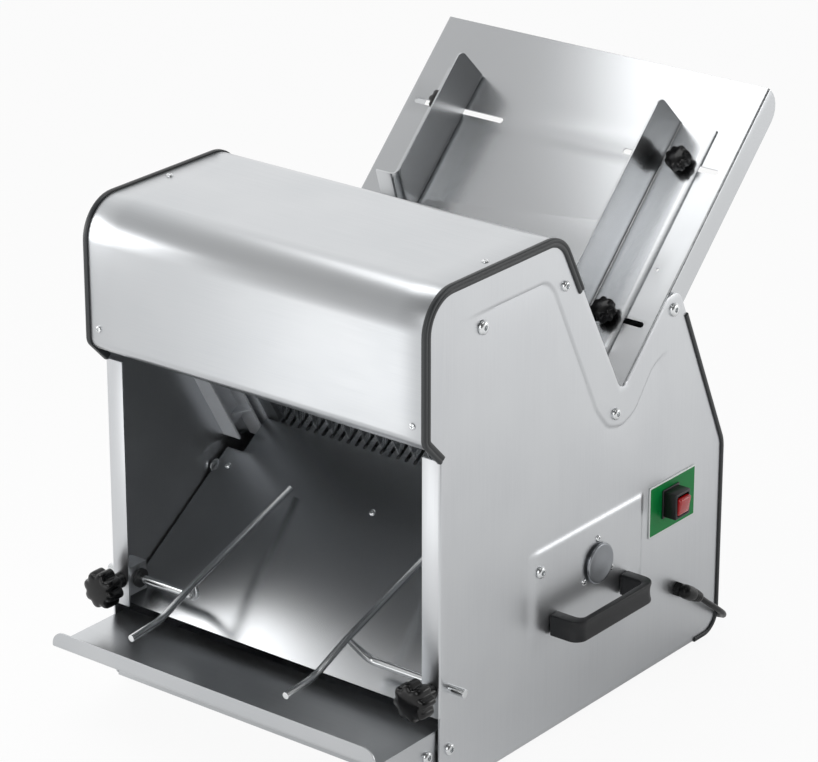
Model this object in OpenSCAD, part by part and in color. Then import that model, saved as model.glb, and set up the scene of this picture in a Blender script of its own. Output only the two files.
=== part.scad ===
// Table-top bread slicer. It stands on z = 0 with its front towards -Y.

/* [Cabinet] */
// Width over the outer faces of the side panels
cabinet_w = 464; // [448:2:490]
// Thickness of the stainless sheet
sheet = 2; // [1.6:0.1:2.4]
// Height of the rubber feet
foot_h = 8; // [6:1:14]
// Front face of the upright flanges, from the middle of the machine
flange_y = -256; // [-259:1:-253]
// Width of the upright flanges
flange_w = 24; // [22:1:26]
// Front face of the head
head_y = -282; // [-288:1:-278]
// Lower front corner of the head
head_z = 422; // [416:1:428]
// Height at which the head runs back to the flange
notch_z = 395; // [388:1:400]
// Top of the head
top_z = 583; // [575:1:595]
// Rear corner of the head's top
top_rear_y = -49; // [-60:1:-40]
// Lowest point of the feed notch, front to back
notch_y = 65; // [60:1:70]
// Lowest point of the feed notch, height
notch_low_z = 367; // [362:1:372]
// Rear upper corner of the panel, front to back
lobe_y = 166; // [162:1:170]
// Rear upper corner of the panel, height
lobe_z = 468; // [462:1:474]
// Rear edge of the panel
rear_y = 267; // [260:1:275]
// Height at which the rear edge starts to lean forward
rear_bend_z = 245; // [235:1:255]
// Radius of the head's front corner
head_r = 45; // [35:1:50]
// Width of the rubber edging on the panel's face
trim_w = 8; // [7:0.5:9]
// Thickness of the rubber edging
trim_t = 2; // [1.6:0.1:2.4]

/* [Feed chute] */
// Slope of the feed chute in degrees
chute_slope = 45; // [44:0.5:46]
// Point of the chute's surface over the rear bolt, front to back
chute_y = 160; // [157:1:163]
// Point of the chute's surface over the rear bolt, height
chute_z = 453.6; // [451:0.2:456]
// Length of the chute above that point
chute_up = 266; // [255:1:275]
// Length of the chute below that point
chute_down = 220; // [214:1:221]
// Depth of the chute's folded edges
chute_fold = 33; // [28:1:36]
// Height of a bread guide's wall
guide_h = 61; // [52:1:66]
// Distance from the chute's side edge to a bread guide's wall
guide_inset = 87; // [84:1:94]
// Width of a bread guide's foot
guide_foot_w = 50; // [46:1:52]
// Diameter of the guide knobs
guide_knob_d = 30; // [26:1:34]

/* [Discharge] */
// Slope of the discharge plate in degrees
plate_slope = 34.4; // [34:0.2:35]
// Point of the discharge plate near its front edge, front to back
plate_y = -204; // [-206:1:-202]
// Point of the discharge plate near its front edge, height
plate_z = 127.2; // [126:0.2:128]
// Height of the tray's floor
tray_z = 86.6; // [82:0.2:90]
// Front face of the tray's lip
tray_y = -360; // [-366:1:-352]
// Height of the tray's lip above its floor
lip_h = 18.4; // [14:0.2:20]
// Diameter of the straight clamped part of a catch rod
cross_rod_d = 10; // [8:0.5:11]
// Diameter of a catch rod
catch_rod_d = 8; // [6:0.5:9]
// Distance from the middle to a catch rod
catch_x = 109; // [100:1:115]
// Diameter of the clamp knobs
clamp_knob_d = 45; // [38:1:46]

/* [Blades] */
// Spacing of the blades, which is the slice thickness
blade_pitch = 12; // [11:0.5:12]
// Width of a blade
blade_w = 12; // [10:0.5:12.5]
// Thickness of a blade
blade_t = 0.8; // [0.6:0.1:1]
// Lean of the blades from the floor in degrees
blade_lean = 60; // [59.5:0.25:60.5]
// Crank axis, front to back
crank_y = 23; // [22:0.5:24]
// Crank axis, height
crank_z = 181; // [180:0.5:182]
// Distance that each frame moves to either side of mid stroke
throw = 9; // [7:0.5:9.5]

/* [Drive] */
// Outer radius of the pulley on the crankshaft
crank_pulley_r = 55; // [50:1:57]
// Outer radius of the pulley on the motor
motor_pulley_r = 25; // [22:1:28]
// Motor axis, front to back
motor_y = 140; // [135:1:148]
// Motor axis, height
motor_z = 92; // [88:1:100]
// Radius of the motor
motor_r = 55; // [48:1:58]
// Length of the motor
motor_l = 160; // [140:1:180]

/* [Fittings] */
// Length of a carrying handle
handle_l = 146; // [130:1:156]
// Reach of a carrying handle from the panel
handle_reach = 40; // [36:1:46]
// Height of a carrying handle's section
handle_h = 25; // [20:1:28]
// Width of the switch plate
switch_plate_w = 90; // [80:1:92]
// Height of the switch plate
switch_plate_h = 62; // [54:1:64]
// Diameter of the mains cord
cord_d = 7; // [6:0.1:7.4]

/* [Hidden] */
$fn = 48;

// Colours
steel_grey = "#c9cccf";
dark_steel = "#6e7275";
bright_steel = "#e2e4e6";
rubber_black = "#26282a";
knob_black = "#141415";
nylon_black = "#2a2b2d";
aluminium_grey = "#b8bcc0";
motor_grey = "#59636b";

// Clearances and overruns
overrun = 1;
run_gap = 0.05;
slide_gap = 0.4;
seat_gap = 0.3;
hole_gap = 0.3;
arc_steps = 10;

// Side panel
panel_x = cabinet_w / 2;
inner_x = panel_x - sheet;
panel_low_z = foot_h;
flange_low_z = 100;
front_low_r = 8;
rear_low_r = 25;
rear_bend_r = 40;
lobe_r = 18;
notch_r = 12;
top_rear_r = 40;
head_low_r = 14;
front_notch_r = 6;
head_corners = [[flange_y, notch_z], [head_y, head_z], [head_y, top_z], [top_rear_y, top_z]];
panel_corners = concat(
    [[flange_y, panel_low_z], [rear_y, panel_low_z], [rear_y, rear_bend_z], [lobe_y, lobe_z],
     [notch_y, notch_low_z]],
    reversed(head_corners)
);
panel_radii = [front_low_r, rear_low_r, rear_bend_r, lobe_r, notch_r, top_rear_r, head_r,
               head_low_r, front_notch_r];

// Raised field on the panel round the cap and the handle
pad_rise = 2;
pad_front_y = -105;
pad_rear_y = 112;
pad_low_z = 114;
pad_top_z = 236;
pad_r = 15;
pad_x = panel_x + pad_rise;

// Rubber edging
trim_inner_w = 6;
trim_tail = 80;
trim_end = head_corners[3] + unit([notch_y, notch_low_z] - head_corners[3]) * trim_tail;
trim_line = concat(head_corners, [trim_end]);
trim_radii = [head_low_r, head_r, top_rear_r];
rear_trim_start_share = 0.2;
rear_trim_start = [lobe_y, lobe_z] + ([rear_y, rear_bend_z] - [lobe_y, lobe_z]) * rear_trim_start_share;
rear_trim_foot = 45;
rear_trim_line = [rear_trim_start, [rear_y, rear_bend_z], [rear_y, panel_low_z],
                  [rear_y - rear_trim_foot, panel_low_z]];
rear_trim_radii = [rear_bend_r, rear_low_r];
rear_trim_w = 4;

// Head cover
cover_t = 1.5;
cover_lip = 12;
cover_x = inner_x - trim_t;
cover_line = concat(
    [head_corners[1] + unit(head_corners[0] - head_corners[1]) * cover_lip],
    [for (i = [1 : len(trim_line) - 1]) trim_line[i]]
);
screw_head_r = 4;
screw_head_h = 2;
screw_r = 2;
screw_inset = 12;
cover_screw_y = -162;
cover_screw_z = head_z + head_low_r + screw_inset / 3;

// Panel bolts, as front to back and height
bolt_r = 4;
bolt_head_h = 4;
collar_r = 8;
front_bar_y = -186;
front_bar_z = 522;
rear_bar_y = -44;
rear_bar_z = 525;
bar_r = 9;
chute_bolt_y = 161;
chute_bolt_z = 436;
notch_bolt_y = 54;
notch_bolt_z = 347;
plate_bolt_y = -83;
plate_bolt_z = 208;
tray_pivot_y = -239.5;
tray_pivot_z = 59;
big_head_r = 8;
mid_head_r = 7;
small_head_r = 6;

// Feed chute, with u up the slope from the named point and w square to its surface
chute_x = inner_x - 2 * sheet;
chute_corner_r = 25;
slot_w = 7;
slot_l = 129;
slot_edge = 12;
slot_out_x = chute_x - slot_edge;
slot_in_x = slot_out_x - slot_l;
upper_slot_drop = 114;
upper_slot_u = chute_up - upper_slot_drop;
lower_slot_rise = 176;
lower_slot_u = lower_slot_rise - chute_down;
guide_x = chute_x - guide_inset;
guide_top_drop = 65;
guide_top_u = chute_up - guide_top_drop;
guide_low_rise = 130;
guide_low_u = guide_low_rise - chute_down;
left_wall_rise = 219;
left_wall_low_u = left_wall_rise - chute_down;
guide_corner = 18;
guide_knob_reach = 28;
guide_knob_x = guide_x + guide_knob_reach;
stud_r = 3;
guide_knob_h = 14;
guide_boss_h = 5;
boss_r = 7;
nut_r = 7;
nut_h = 4;
guide_flare = 30;
guide_lean = 31;

// Discharge plate, with v up the slope from the named point
plate_low_v = -50;
plate_wide_v = 172;
plate_slot_v = 222;
plate_top_v = 262;
plate_x = inner_x - sheet;
plate_step = 24;
plate_shoulder_x = plate_x - plate_step;
plate_finger_step = 18;
plate_finger_x = plate_shoulder_x - plate_finger_step;
plate_fold = 25;
blade_slot_w = 5;
plate_screw_v = 150;
plate_screw_inset = 16;
plate_screw_x = plate_x - plate_screw_inset;

// Blades in both frames together, as many as the plate's comb has room for
comb_edge = 6;
blade_count = 2 * floor((plate_finger_x - comb_edge) / blade_pitch) + 1;

// Blade plane, with t square to it towards the rear and s up along the stroke
frame_t = 14;
front_t = 2;
rear_t = 20;
lower_s = 44;
beam_h = 20;
upper_s = 300;
rail_reach = 24;
rail_base_t = 4;
rail_in_x = inner_x - rail_reach;
frame_gap = 6;
frame_x = rail_in_x - frame_gap;
stile_w = 12;
stile_in_x = frame_x - stile_w;
shoe_end_gap = 4;
shoe_reach = inner_x - rail_base_t - shoe_end_gap - frame_x;
shoe_h = 40;
shoe_low_s = 80;
shoe_top_s = 262;
blade_seat = 8;
blade_slot_gap = 0.2;
blade_inset = (frame_t - blade_w) / 2;

// Crank and yokes
crank_r = 8;
eccentric_r = 16;
eccentric_t = 8;
yoke_t = 10;
yoke_play = 2.4;
yoke_wall = 4.6;
front_yoke_inset = 50;
front_yoke_x = frame_x - front_yoke_inset;
rear_yoke_inset = 70;
rear_yoke_x = frame_x - rear_yoke_inset;
yoke_slot_s = eccentric_r + yoke_play;
yoke_slot_t = eccentric_r + throw + overrun;
yoke_half_s = yoke_slot_s + yoke_wall;
yoke_half_t = rear_t + frame_t;
bearing_r = 32;
bearing_hub_r = 20;
bearing_flange_t = 8;
bearing_l = 12;
bearing_end_gap = 1;
cap_r = 23.5;
cap_t = 3.5;
cap_neck_r = 19;
cap_neck_t = 2;
cap_screw_r = 29;

// Guide rails inside the panels
rail_front_t = -47;
rail_rib_t = -14;
rail_fin_t = 2.5;
rail_front_s = 96;
rail_low_s = 62;
rail_top_s = 330;
gusset_s = 110;
gusset_w = 14;

// Belt drive
pulley_w = 13;
pulley_inset = 27;
pulley_in_x = inner_x - pulley_inset;
groove_w = 9;
groove_d = 9;
belt_w = 8;
belt_t = 7;
belt_x = pulley_in_x + pulley_w / 2;
motor_shaft_r = 8;
motor_gap = 53;
motor_end_x = pulley_in_x - motor_gap;
motor_bore_l = 12;
motor_rib_h = 3;
motor_rib_w = 4;
motor_rib_pitch = 12;
bell_share = 0.16;
bracket_w = 24;
bracket_l = 100;
bracket_inset = 22;
capacitor_r = 20;
capacitor_h = 70;
capacitor_gap = 80;
capacitor_x = motor_l - motor_end_x + capacitor_gap;
terminal_r = 4;
terminal_h = 8;

// Base, rear cover and feet
base_fold = 20;
base_front_y = flange_y + sheet;
base_front_h = 35;
rear_cover_gap = 3;
rear_cover_wide_share = 0.34;
rear_cover_top_share = 0.08;
vent_count = 9;
vent_pitch = 30;
vent_w = 8;
vent_h = 60;
vent_z = 60;
foot_r = 15;
foot_top_r = 18;
foot_inset = 40;
foot_x = inner_x - foot_inset;
foot_front_y = -200;
foot_rear_y = 230;

// Tray
tray_x = inner_x - sheet;
tray_back_y = -240;
skirt_h = 40;
skirt_front = 80;
skirt_back_y = -226;
lip_r = 16;
tray_bolt_y = -273;
tray_bolt_z = 61.6;

// Catch rods and their clamps
cross_y = -238;
cross_z = 130;
cross_bend = 22;
cross_in_x = catch_x + cross_bend;
rod_outside = 20;
rod_rear_y = -92;
rod_rear_z = 215.6;
rod_join_y = -258;
rod_join_z = 158.6;
rod_knee_y = -313;
rod_knee_z = 135.6;
rod_front_y = -360.8;
rod_front_z = 131.6;
rod_bend_r = 60;
rod_sides = 12;
rod_lap = 6;
arm_steps = 8;
arm_share = 0.98;
holder_y = 28;
holder_z = 34;
bush_r = 8;
bush_collar_r = 11;
bush_collar_t = 3;
clamp_x = panel_x - flange_w / 2;
clamp_stud_r = 4;
clamp_knob_h = 22;
clamp_boss_r = 9;
clamp_knob_y = -297;

// Star knobs
lobes = 8;
lobe_steps = 10;
lobe_depth_share = 0.13;
cap_share = 0.55;
knob_dome = 2;
clamp_boss_h = flange_y - seat_gap - clamp_knob_y - clamp_knob_h - knob_dome;

// Handles
handle_y = 8;
handle_z = 138;
handle_arm = 15;
handle_grip = 8;
handle_r = 15;

// Switch
switch_y = 167;
switch_z = 203;
switch_plate_t = 1.5;
switch_w = 28;
switch_h = 31;
switch_d = 18;
switch_wall = 3;
switch_bezel = 2;
rocker_play = 1.8;
rocker_tilt = 10;
rocker_out = 3;
rocker_depth = 8;
rocker_pin_r = 1.5;
rocker_side_gap = 0.5;
switch_offset_y = -5;
switch_offset_z = 3.5;

// Cord, its gland, coil, tie and plug
cord_r = cord_d / 2;
gland_y = 183;
gland_z = 88.6;
gland_nut_r = 9;
gland_nut_h = 8;
gland_ball_r = 8.5;
gland_cone_share = 0.9;
gland_mouth_r = 5.5;
cord_sides = 8;
cord_way = [
    [13, 211, 71.4], [14, 227, 58.4], [14.4, 240, 48.6], [13.8, 252, 39.4], [11, 264, 30.4],
    [5, 275, 22], [-4, 284, 16], [-16, 291, 11], [-29, 295, 8], [-44, 298, 6], [-60, 299, 5],
    [-77, 299, 5], [-94, 299, 5], [-111, 299, 5], [-128, 299, 5], [-145, 299, 5], [-166, 299, 5]
];
cord_route = [for (p = cord_way) p + [panel_x, 0, 0]];
coil_lead = cord_d;
coil_r = 51;
coil_pitch = 7.6;
coil_turns = 6;
coil_steps = 24;
coil_sides = 6;
coil_tail = 62;
coil_start = cord_route[len(cord_route) - 1];
coil_centre = coil_start + [-coil_lead, coil_r, 0];
tie_t = 1;
tie_w = 10;
tie_gap = 0.3;
plug_r = 12;
plug_l = 36;
plug_neck_l = 16;
plug_pin_r = 2.4;
plug_pin_l = 19;
plug_pin_x = 9.5;

// Vectors, rounded outlines and bands along a line
function unit(v) = v / norm(v);
function reversed(v) = [for (i = [len(v) - 1 : -1 : 0]) v[i]];
function half_turn(a) = a > 180 ? a - 360 : (a < -180 ? a + 360 : a);
function corner(p, q, s, r) =
    let (
        a = unit(p - q),
        b = unit(s - q),
        half = acos(a * b) / 2,
        c = q + unit(a + b) * r / sin(half),
        first = q + a * r / tan(half) - c,
        last = q + b * r / tan(half) - c,
        a0 = atan2(first.y, first.x),
        da = half_turn(atan2(last.y, last.x) - a0)
    )
    [for (k = [0 : arc_steps]) c + r * [cos(a0 + da * k / arc_steps), sin(a0 + da * k / arc_steps)]];
function rounded(pts, radii) =
    let (n = len(pts))
    [for (i = [0 : n - 1]) each corner(pts[(i + n - 1) % n], pts[i], pts[(i + 1) % n], radii[i])];
function rounded_line(pts, radii) =
    let (n = len(pts) - 1)
    [pts[0], for (i = [1 : n - 1]) each corner(pts[i - 1], pts[i], pts[i + 1], radii[i - 1]), pts[n]];
function left_of(p, q) = let (d = unit(q - p)) [-d.y, d.x];
function shifted(pts, d) =
    let (n = len(pts) - 1)
    [pts[0] + left_of(pts[0], pts[1]) * d,
     for (i = [1 : n - 1])
        let (a = left_of(pts[i - 1], pts[i]), b = left_of(pts[i], pts[i + 1]))
        pts[i] + (a + b) * d / (1 + a * b),
     pts[n] + left_of(pts[n - 1], pts[n]) * d];
function band(pts, radii, outer, inner) =
    concat(
        rounded_line(shifted(pts, outer), [for (r = radii) r + outer]),
        reversed(rounded_line(shifted(pts, inner), [for (r = radii) r + inner]))
    );
function box_corners(y0, z0, y1, z1) = [[y0, z0], [y1, z0], [y1, z1], [y0, z1]];

// Tube swept along points
function along(pts, i) = unit(pts[min(i + 1, len(pts) - 1)] - pts[max(i - 1, 0)]);
function ring(pts, i, r, sides) =
    let (d = along(pts, i), a = unit(cross(d, [0, 0, 1])), b = cross(a, d))
    [for (k = [0 : sides - 1]) pts[i] + r * (cos(360 * k / sides) * a + sin(360 * k / sides) * b)];
module tube(pts, r, sides) {
    n = len(pts);
    rings = [for (i = [0 : n - 1]) each ring(pts, i, r, sides)];
    ends = [pts[0], pts[n - 1]];
    walls = [for (i = [0 : n - 2], k = [0 : sides - 1])
        let (a = i * sides + k, b = i * sides + (k + 1) % sides)
        each [[a, b, b + sides], [a, b + sides, a + sides]]];
    caps = [for (k = [0 : sides - 1])
        let (a = k, b = (k + 1) % sides, m = (n - 1) * sides)
        each [[n * sides, b, a], [n * sides + 1, m + a, m + b]]];
    polyhedron(concat(rings, ends), concat(walls, caps));
}

// Coil: clockwise from its outer end, in on the lower layer and out on the upper one
coil_last = coil_turns * coil_steps;
function coil_climb(turn) = min(1, max(0, (turn - coil_turns / 2) * 2 + 0.5));
function coil_point(i) =
    let (
        turn = i / coil_steps,
        r = coil_r - coil_pitch * min(turn, coil_turns - turn),
        a = -90 - 360 * turn
    )
    coil_centre + [r * cos(a), r * sin(a), coil_pitch * coil_climb(turn)];
coil_points = [for (i = [0 : coil_last]) coil_point(i)];
coil_end = coil_points[coil_last];
plug_start = coil_end - [coil_tail, 0, 0];
coil_line = concat([coil_start], coil_points, [coil_end - [coil_tail / 2, 0, 0], plug_start]);
coil_gap = min([for (i = [0 : coil_last], j = [i + coil_steps / 2 : coil_last])
    norm(coil_points[i] - coil_points[j])]) - cord_d;
echo(coil_gap = coil_gap);

// Frames of the sloping parts
module along_x(x, len) translate([x, 0, 0]) rotate([90, 0, 90]) linear_extrude(len) children();
module rod_x(x, len, y, z, r) translate([x, y, z]) rotate([0, 90, 0]) cylinder(r = r, h = len);
module on_chute() translate([0, chute_y, chute_z]) rotate([chute_slope, 0, 0]) children();
module on_plate() translate([0, plate_y, plate_z]) rotate([plate_slope, 0, 0]) children();
module on_blades() translate([0, crank_y, crank_z]) rotate([90 - blade_lean, 0, 0]) children();
module other_side() mirror([1, 0, 0]) children();
module both_sides() {
    children();
    other_side() children();
}
module bolt_x(x, y, z, head_r, shank) {
    rod_x(x, bolt_head_h, y, z, head_r);
    rod_x(x - shank, shank, y, z, bolt_r);
}
function star_outline(r) = [for (k = [0 : lobes * lobe_steps - 1])
    let (a = 360 * k / (lobes * lobe_steps), r_here = r * (1 - lobe_depth_share * (1 - cos(lobes * a)) / 2))
    r_here * [cos(a), sin(a)]];
module star_knob(d, h, boss, boss_rad, stud, stud_l) {
    translate([0, 0, boss]) linear_extrude(h) polygon(star_outline(d / 2));
    cylinder(r = boss_rad, h = boss + overrun);
    translate([0, 0, boss + h - overrun]) cylinder(d = d * cap_share, h = knob_dome + overrun);
    translate([0, 0, -stud_l]) cylinder(r = stud, h = stud_l + overrun);
}

// Cabinet
module panel_solid() {
    difference() {
        union() {
            along_x(inner_x, sheet) polygon(rounded(panel_corners, panel_radii));
            translate([panel_x - flange_w, flange_y, flange_low_z])
                cube([flange_w - sheet, sheet, notch_z - flange_low_z]);
            along_x(panel_x, pad_rise)
                polygon(rounded(box_corners(pad_front_y, pad_low_z, pad_rear_y, pad_top_z),
                                [pad_r, pad_r, pad_r, pad_r]));
        }
        for (at = [[front_bar_y, front_bar_z], [rear_bar_y, rear_bar_z], [chute_bolt_y, chute_bolt_z],
                   [notch_bolt_y, notch_bolt_z], [plate_bolt_y, plate_bolt_z],
                   [tray_pivot_y, tray_pivot_z]])
            rod_x(inner_x - overrun, sheet + pad_rise + 2 * overrun, at.x, at.y, bolt_r + hole_gap);
        rod_x(inner_x - overrun, sheet + 2 * overrun, cross_y, cross_z, cross_rod_d / 2 + 2 * hole_gap);
        translate([clamp_x, flange_y - overrun, cross_z])
            rotate([-90, 0, 0]) cylinder(r = clamp_stud_r + hole_gap, h = sheet + 2 * overrun);
    }
}
module right_side_panel() color(steel_grey) panel_solid();
module left_side_panel() color(steel_grey) other_side() panel_solid();

module trim_solid() {
    along_x(panel_x, trim_t) polygon(band(trim_line, trim_radii, trim_t, -trim_w));
    along_x(inner_x - trim_t, sheet + trim_t) polygon(band(trim_line, trim_radii, trim_t, 0));
    along_x(inner_x - trim_t, trim_t) polygon(band(trim_line, trim_radii, 0, -trim_inner_w));
    along_x(panel_x, trim_t) polygon(band(rear_trim_line, rear_trim_radii, trim_t, -rear_trim_w));
    along_x(inner_x, sheet) polygon(band(rear_trim_line, rear_trim_radii, trim_t, 0));
}
module right_edge_trim() color(rubber_black) trim_solid();
module left_edge_trim() color(rubber_black) other_side() trim_solid();

module cover_screw_places() {
    both_sides() {
        translate([cover_x - screw_inset, cover_screw_y, top_z]) children();
        translate([cover_x - screw_inset, head_y, cover_screw_z]) rotate([90, 0, 0]) children();
    }
}
module head_cover() color(steel_grey) difference() {
    along_x(-cover_x, 2 * cover_x) polygon(band(cover_line, trim_radii, 0, -cover_t));
    cover_screw_places() translate([0, 0, -cover_t - overrun])
        cylinder(r = screw_r + hole_gap, h = cover_t + 2 * overrun);
}
module cover_screws() color(bright_steel) cover_screw_places() {
    cylinder(r = screw_head_r, h = screw_head_h);
    translate([0, 0, -cover_t]) cylinder(r = screw_r, h = cover_t);
}

module tie_bars() color(bright_steel) {
    rod_x(-inner_x, 2 * inner_x, front_bar_y, front_bar_z, bar_r);
    rod_x(-inner_x, 2 * inner_x, rear_bar_y, rear_bar_z, bar_r);
}
module panel_bolts() color(bright_steel) both_sides() {
    bolt_x(panel_x, front_bar_y, front_bar_z, big_head_r, sheet);
    bolt_x(panel_x, rear_bar_y, rear_bar_z, small_head_r, sheet);
    bolt_x(panel_x, notch_bolt_y, notch_bolt_z, mid_head_r, sheet);
    bolt_x(pad_x, plate_bolt_y, plate_bolt_z, mid_head_r, sheet + pad_rise);
    rod_x(plate_x, inner_x - plate_x, plate_bolt_y, plate_bolt_z, collar_r);
    bolt_x(panel_x, tray_pivot_y, tray_pivot_z, mid_head_r, sheet);
    rod_x(tray_x, inner_x - tray_x, tray_pivot_y, tray_pivot_z, collar_r);
    bolt_x(panel_x, chute_bolt_y, chute_bolt_z, big_head_r, sheet);
    rod_x(chute_x, inner_x - chute_x, chute_bolt_y, chute_bolt_z, collar_r);
    rod_x(chute_x, inner_x - chute_x, notch_bolt_y, notch_bolt_z, collar_r);
}

module base_plate() color(steel_grey) {
    translate([-inner_x, base_front_y, foot_h])
        cube([2 * inner_x, rear_y - rear_cover_gap - sheet - base_front_y, sheet]);
    both_sides() translate([inner_x - sheet, base_front_y + sheet, foot_h + sheet])
        cube([sheet, rear_y - rear_cover_gap - 2 * sheet - base_front_y, base_fold]);
    translate([-inner_x, base_front_y, foot_h + sheet]) cube([2 * inner_x, sheet, base_front_h]);
}
function down_the_rear(share) =
    [[lobe_y, lobe_z] + ([rear_y, rear_bend_z] - [lobe_y, lobe_z]) * share,
     [rear_y, rear_bend_z], [rear_y, panel_low_z + sheet]];
module rear_sheet(half_w, share) along_x(-half_w, 2 * half_w)
    polygon(band(down_the_rear(share), [rear_bend_r], -rear_cover_gap, -rear_cover_gap - sheet));
module rear_cover() color(steel_grey) difference() {
    union() {
        rear_sheet(inner_x, rear_cover_wide_share);
        rear_sheet(chute_x - 2 * sheet, rear_cover_top_share);
    }
    for (k = [0 : vent_count - 1])
        translate([(k - (vent_count - 1) / 2) * vent_pitch - vent_w / 2,
                   rear_y - rear_cover_gap - sheet - overrun, vent_z])
            cube([vent_w, sheet + 2 * overrun, vent_h]);
}
module rubber_feet() color(rubber_black)
    for (y = [foot_front_y, foot_rear_y])
        both_sides() translate([foot_x, y, 0]) cylinder(r1 = foot_r, r2 = foot_top_r, h = foot_h);

// Feed chute and bread guides
module chute_slot(u)
    both_sides() translate([slot_in_x, u - slot_w / 2, -sheet - overrun])
        cube([slot_out_x - slot_in_x, slot_w, sheet + 2 * overrun]);
module feed_chute() color(steel_grey) on_chute() difference() {
    union() {
        translate([-chute_x, -chute_down, -sheet])
            cube([2 * chute_x, chute_up + chute_down, sheet]);
        both_sides() along_x(chute_x - sheet, sheet)
            polygon(rounded(box_corners(-chute_down, -chute_fold, chute_up, -sheet / 2),
                            [chute_corner_r, chute_corner_r, sheet / 4, sheet / 4]));
        translate([-chute_x, chute_up - sheet, -chute_fold + chute_corner_r])
            cube([2 * chute_x, sheet, chute_fold - chute_corner_r]);
    }
    chute_slot(upper_slot_u);
    chute_slot(lower_slot_u);
}

module guide_solid(wall_low_u) {
    on_chute() {
        difference() {
            translate([guide_x, guide_low_u, seat_gap])
                cube([guide_foot_w, guide_top_u - guide_low_u, sheet]);
            for (u = [upper_slot_u, lower_slot_u])
                translate([guide_knob_x, u, seat_gap - overrun])
                    cylinder(r = stud_r + run_gap, h = sheet + 2 * overrun);
        }
        along_x(guide_x, sheet) polygon([
            [wall_low_u, seat_gap], [guide_top_u, seat_gap], [guide_top_u, guide_h - guide_corner],
            [guide_top_u - guide_corner, guide_h], [wall_low_u + guide_lean, guide_h]
        ]);
        along_x(guide_x, guide_flare) polygon([
            [wall_low_u, seat_gap], [wall_low_u + sheet, seat_gap],
            [wall_low_u + guide_lean + sheet, guide_h], [wall_low_u + guide_lean, guide_h]
        ]);
    }
}
module guide_nut_pair()
    on_chute() for (u = [upper_slot_u, lower_slot_u])
        translate([guide_knob_x, u, -sheet - seat_gap - nut_h]) difference() {
            cylinder(r = nut_r, h = nut_h, $fn = 6);
            translate([0, 0, -overrun]) cylinder(r = stud_r + run_gap, h = nut_h + 2 * overrun);
        }
module guide_knob(u)
    on_chute() translate([guide_knob_x, u, sheet + 2 * seat_gap])
        star_knob(guide_knob_d, guide_knob_h, guide_boss_h, boss_r, stud_r,
                  2 * sheet + 3 * seat_gap + nut_h);
module right_bread_guide() color(steel_grey) guide_solid(guide_low_u);
module left_bread_guide() color(steel_grey) other_side() guide_solid(left_wall_low_u);
module right_guide_nuts() color(bright_steel) guide_nut_pair();
module left_guide_nuts() color(bright_steel) other_side() guide_nut_pair();
module upper_right_knob() color(knob_black) guide_knob(upper_slot_u);
module lower_right_knob() color(knob_black) guide_knob(lower_slot_u);
module upper_left_knob() color(knob_black) other_side() guide_knob(upper_slot_u);
module lower_left_knob() color(knob_black) other_side() guide_knob(lower_slot_u);

// Discharge plate, tray and catch rods
module plate_screw_places() on_plate() for (x = [-plate_screw_x, 0, plate_screw_x])
    translate([x, plate_screw_v, 0]) children();
module discharge_plate() color(dark_steel) difference() {
    on_plate() difference() {
        union() {
            translate([0, 0, -sheet]) linear_extrude(sheet) polygon(concat(
                [[-plate_x, plate_low_v], [plate_x, plate_low_v], [plate_x, plate_wide_v],
                 [plate_shoulder_x, plate_wide_v], [plate_shoulder_x, plate_slot_v],
                 [plate_finger_x, plate_slot_v], [plate_finger_x, plate_top_v]],
                [[-plate_finger_x, plate_top_v], [-plate_finger_x, plate_slot_v],
                 [-plate_shoulder_x, plate_slot_v], [-plate_shoulder_x, plate_wide_v],
                 [-plate_x, plate_wide_v]]));
            both_sides() translate([plate_x - sheet, 0, -plate_fold])
                cube([sheet, plate_wide_v, plate_fold - sheet / 2]);
        }
        for (k = [0 : blade_count - 1]) translate([(k - (blade_count - 1) / 2) * blade_pitch, 0, 0]) {
            translate([-blade_slot_w / 2, plate_slot_v + blade_slot_w / 2, -sheet - overrun])
                cube([blade_slot_w, plate_top_v - plate_slot_v, sheet + 2 * overrun]);
            translate([0, plate_slot_v + blade_slot_w / 2, -sheet - overrun])
                cylinder(d = blade_slot_w, h = sheet + 2 * overrun);
        }
    }
    plate_screw_places() translate([0, 0, -sheet - overrun])
        cylinder(r = screw_r + hole_gap, h = sheet + 2 * overrun);
}
module discharge_screws() color(bright_steel) plate_screw_places() {
    cylinder(r = screw_head_r, h = screw_head_h);
    translate([0, 0, -sheet]) cylinder(r = screw_r, h = sheet);
}

module front_tray() color(steel_grey) {
    translate([-tray_x, tray_y + sheet, tray_z - sheet])
        cube([2 * tray_x, tray_back_y - tray_y - sheet, sheet]);
    translate([0, tray_y + sheet, 0]) rotate([90, 0, 0]) linear_extrude(sheet)
        polygon(rounded(box_corners(-tray_x, tray_z - sheet, tray_x, tray_z + lip_h),
                        [sheet / 2, sheet / 2, lip_r, lip_r]));
    both_sides() along_x(tray_x - sheet, sheet) polygon([
        [tray_y + sheet, tray_z - sheet], [tray_y + skirt_front, tray_z - skirt_h],
        [skirt_back_y, tray_z - skirt_h], [skirt_back_y, tray_z - sheet]]);
}
module tray_bolts() color(bright_steel) both_sides() rod_x(tray_x, bolt_head_h, tray_bolt_y,
                                                          tray_bolt_z, mid_head_r);

module holder_solid() difference() {
    translate([panel_x - flange_w, flange_y + sheet, cross_z - holder_z / 2])
        cube([flange_w - sheet, holder_y, holder_z]);
    rod_x(panel_x - flange_w - overrun, flange_w + 2 * overrun, cross_y, cross_z, bush_r + run_gap);
    translate([clamp_x, flange_y, cross_z]) rotate([-90, 0, 0])
        cylinder(r = clamp_stud_r + run_gap, h = cross_y - flange_y);
}
module rod_holders() color(steel_grey) both_sides() holder_solid();

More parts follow.
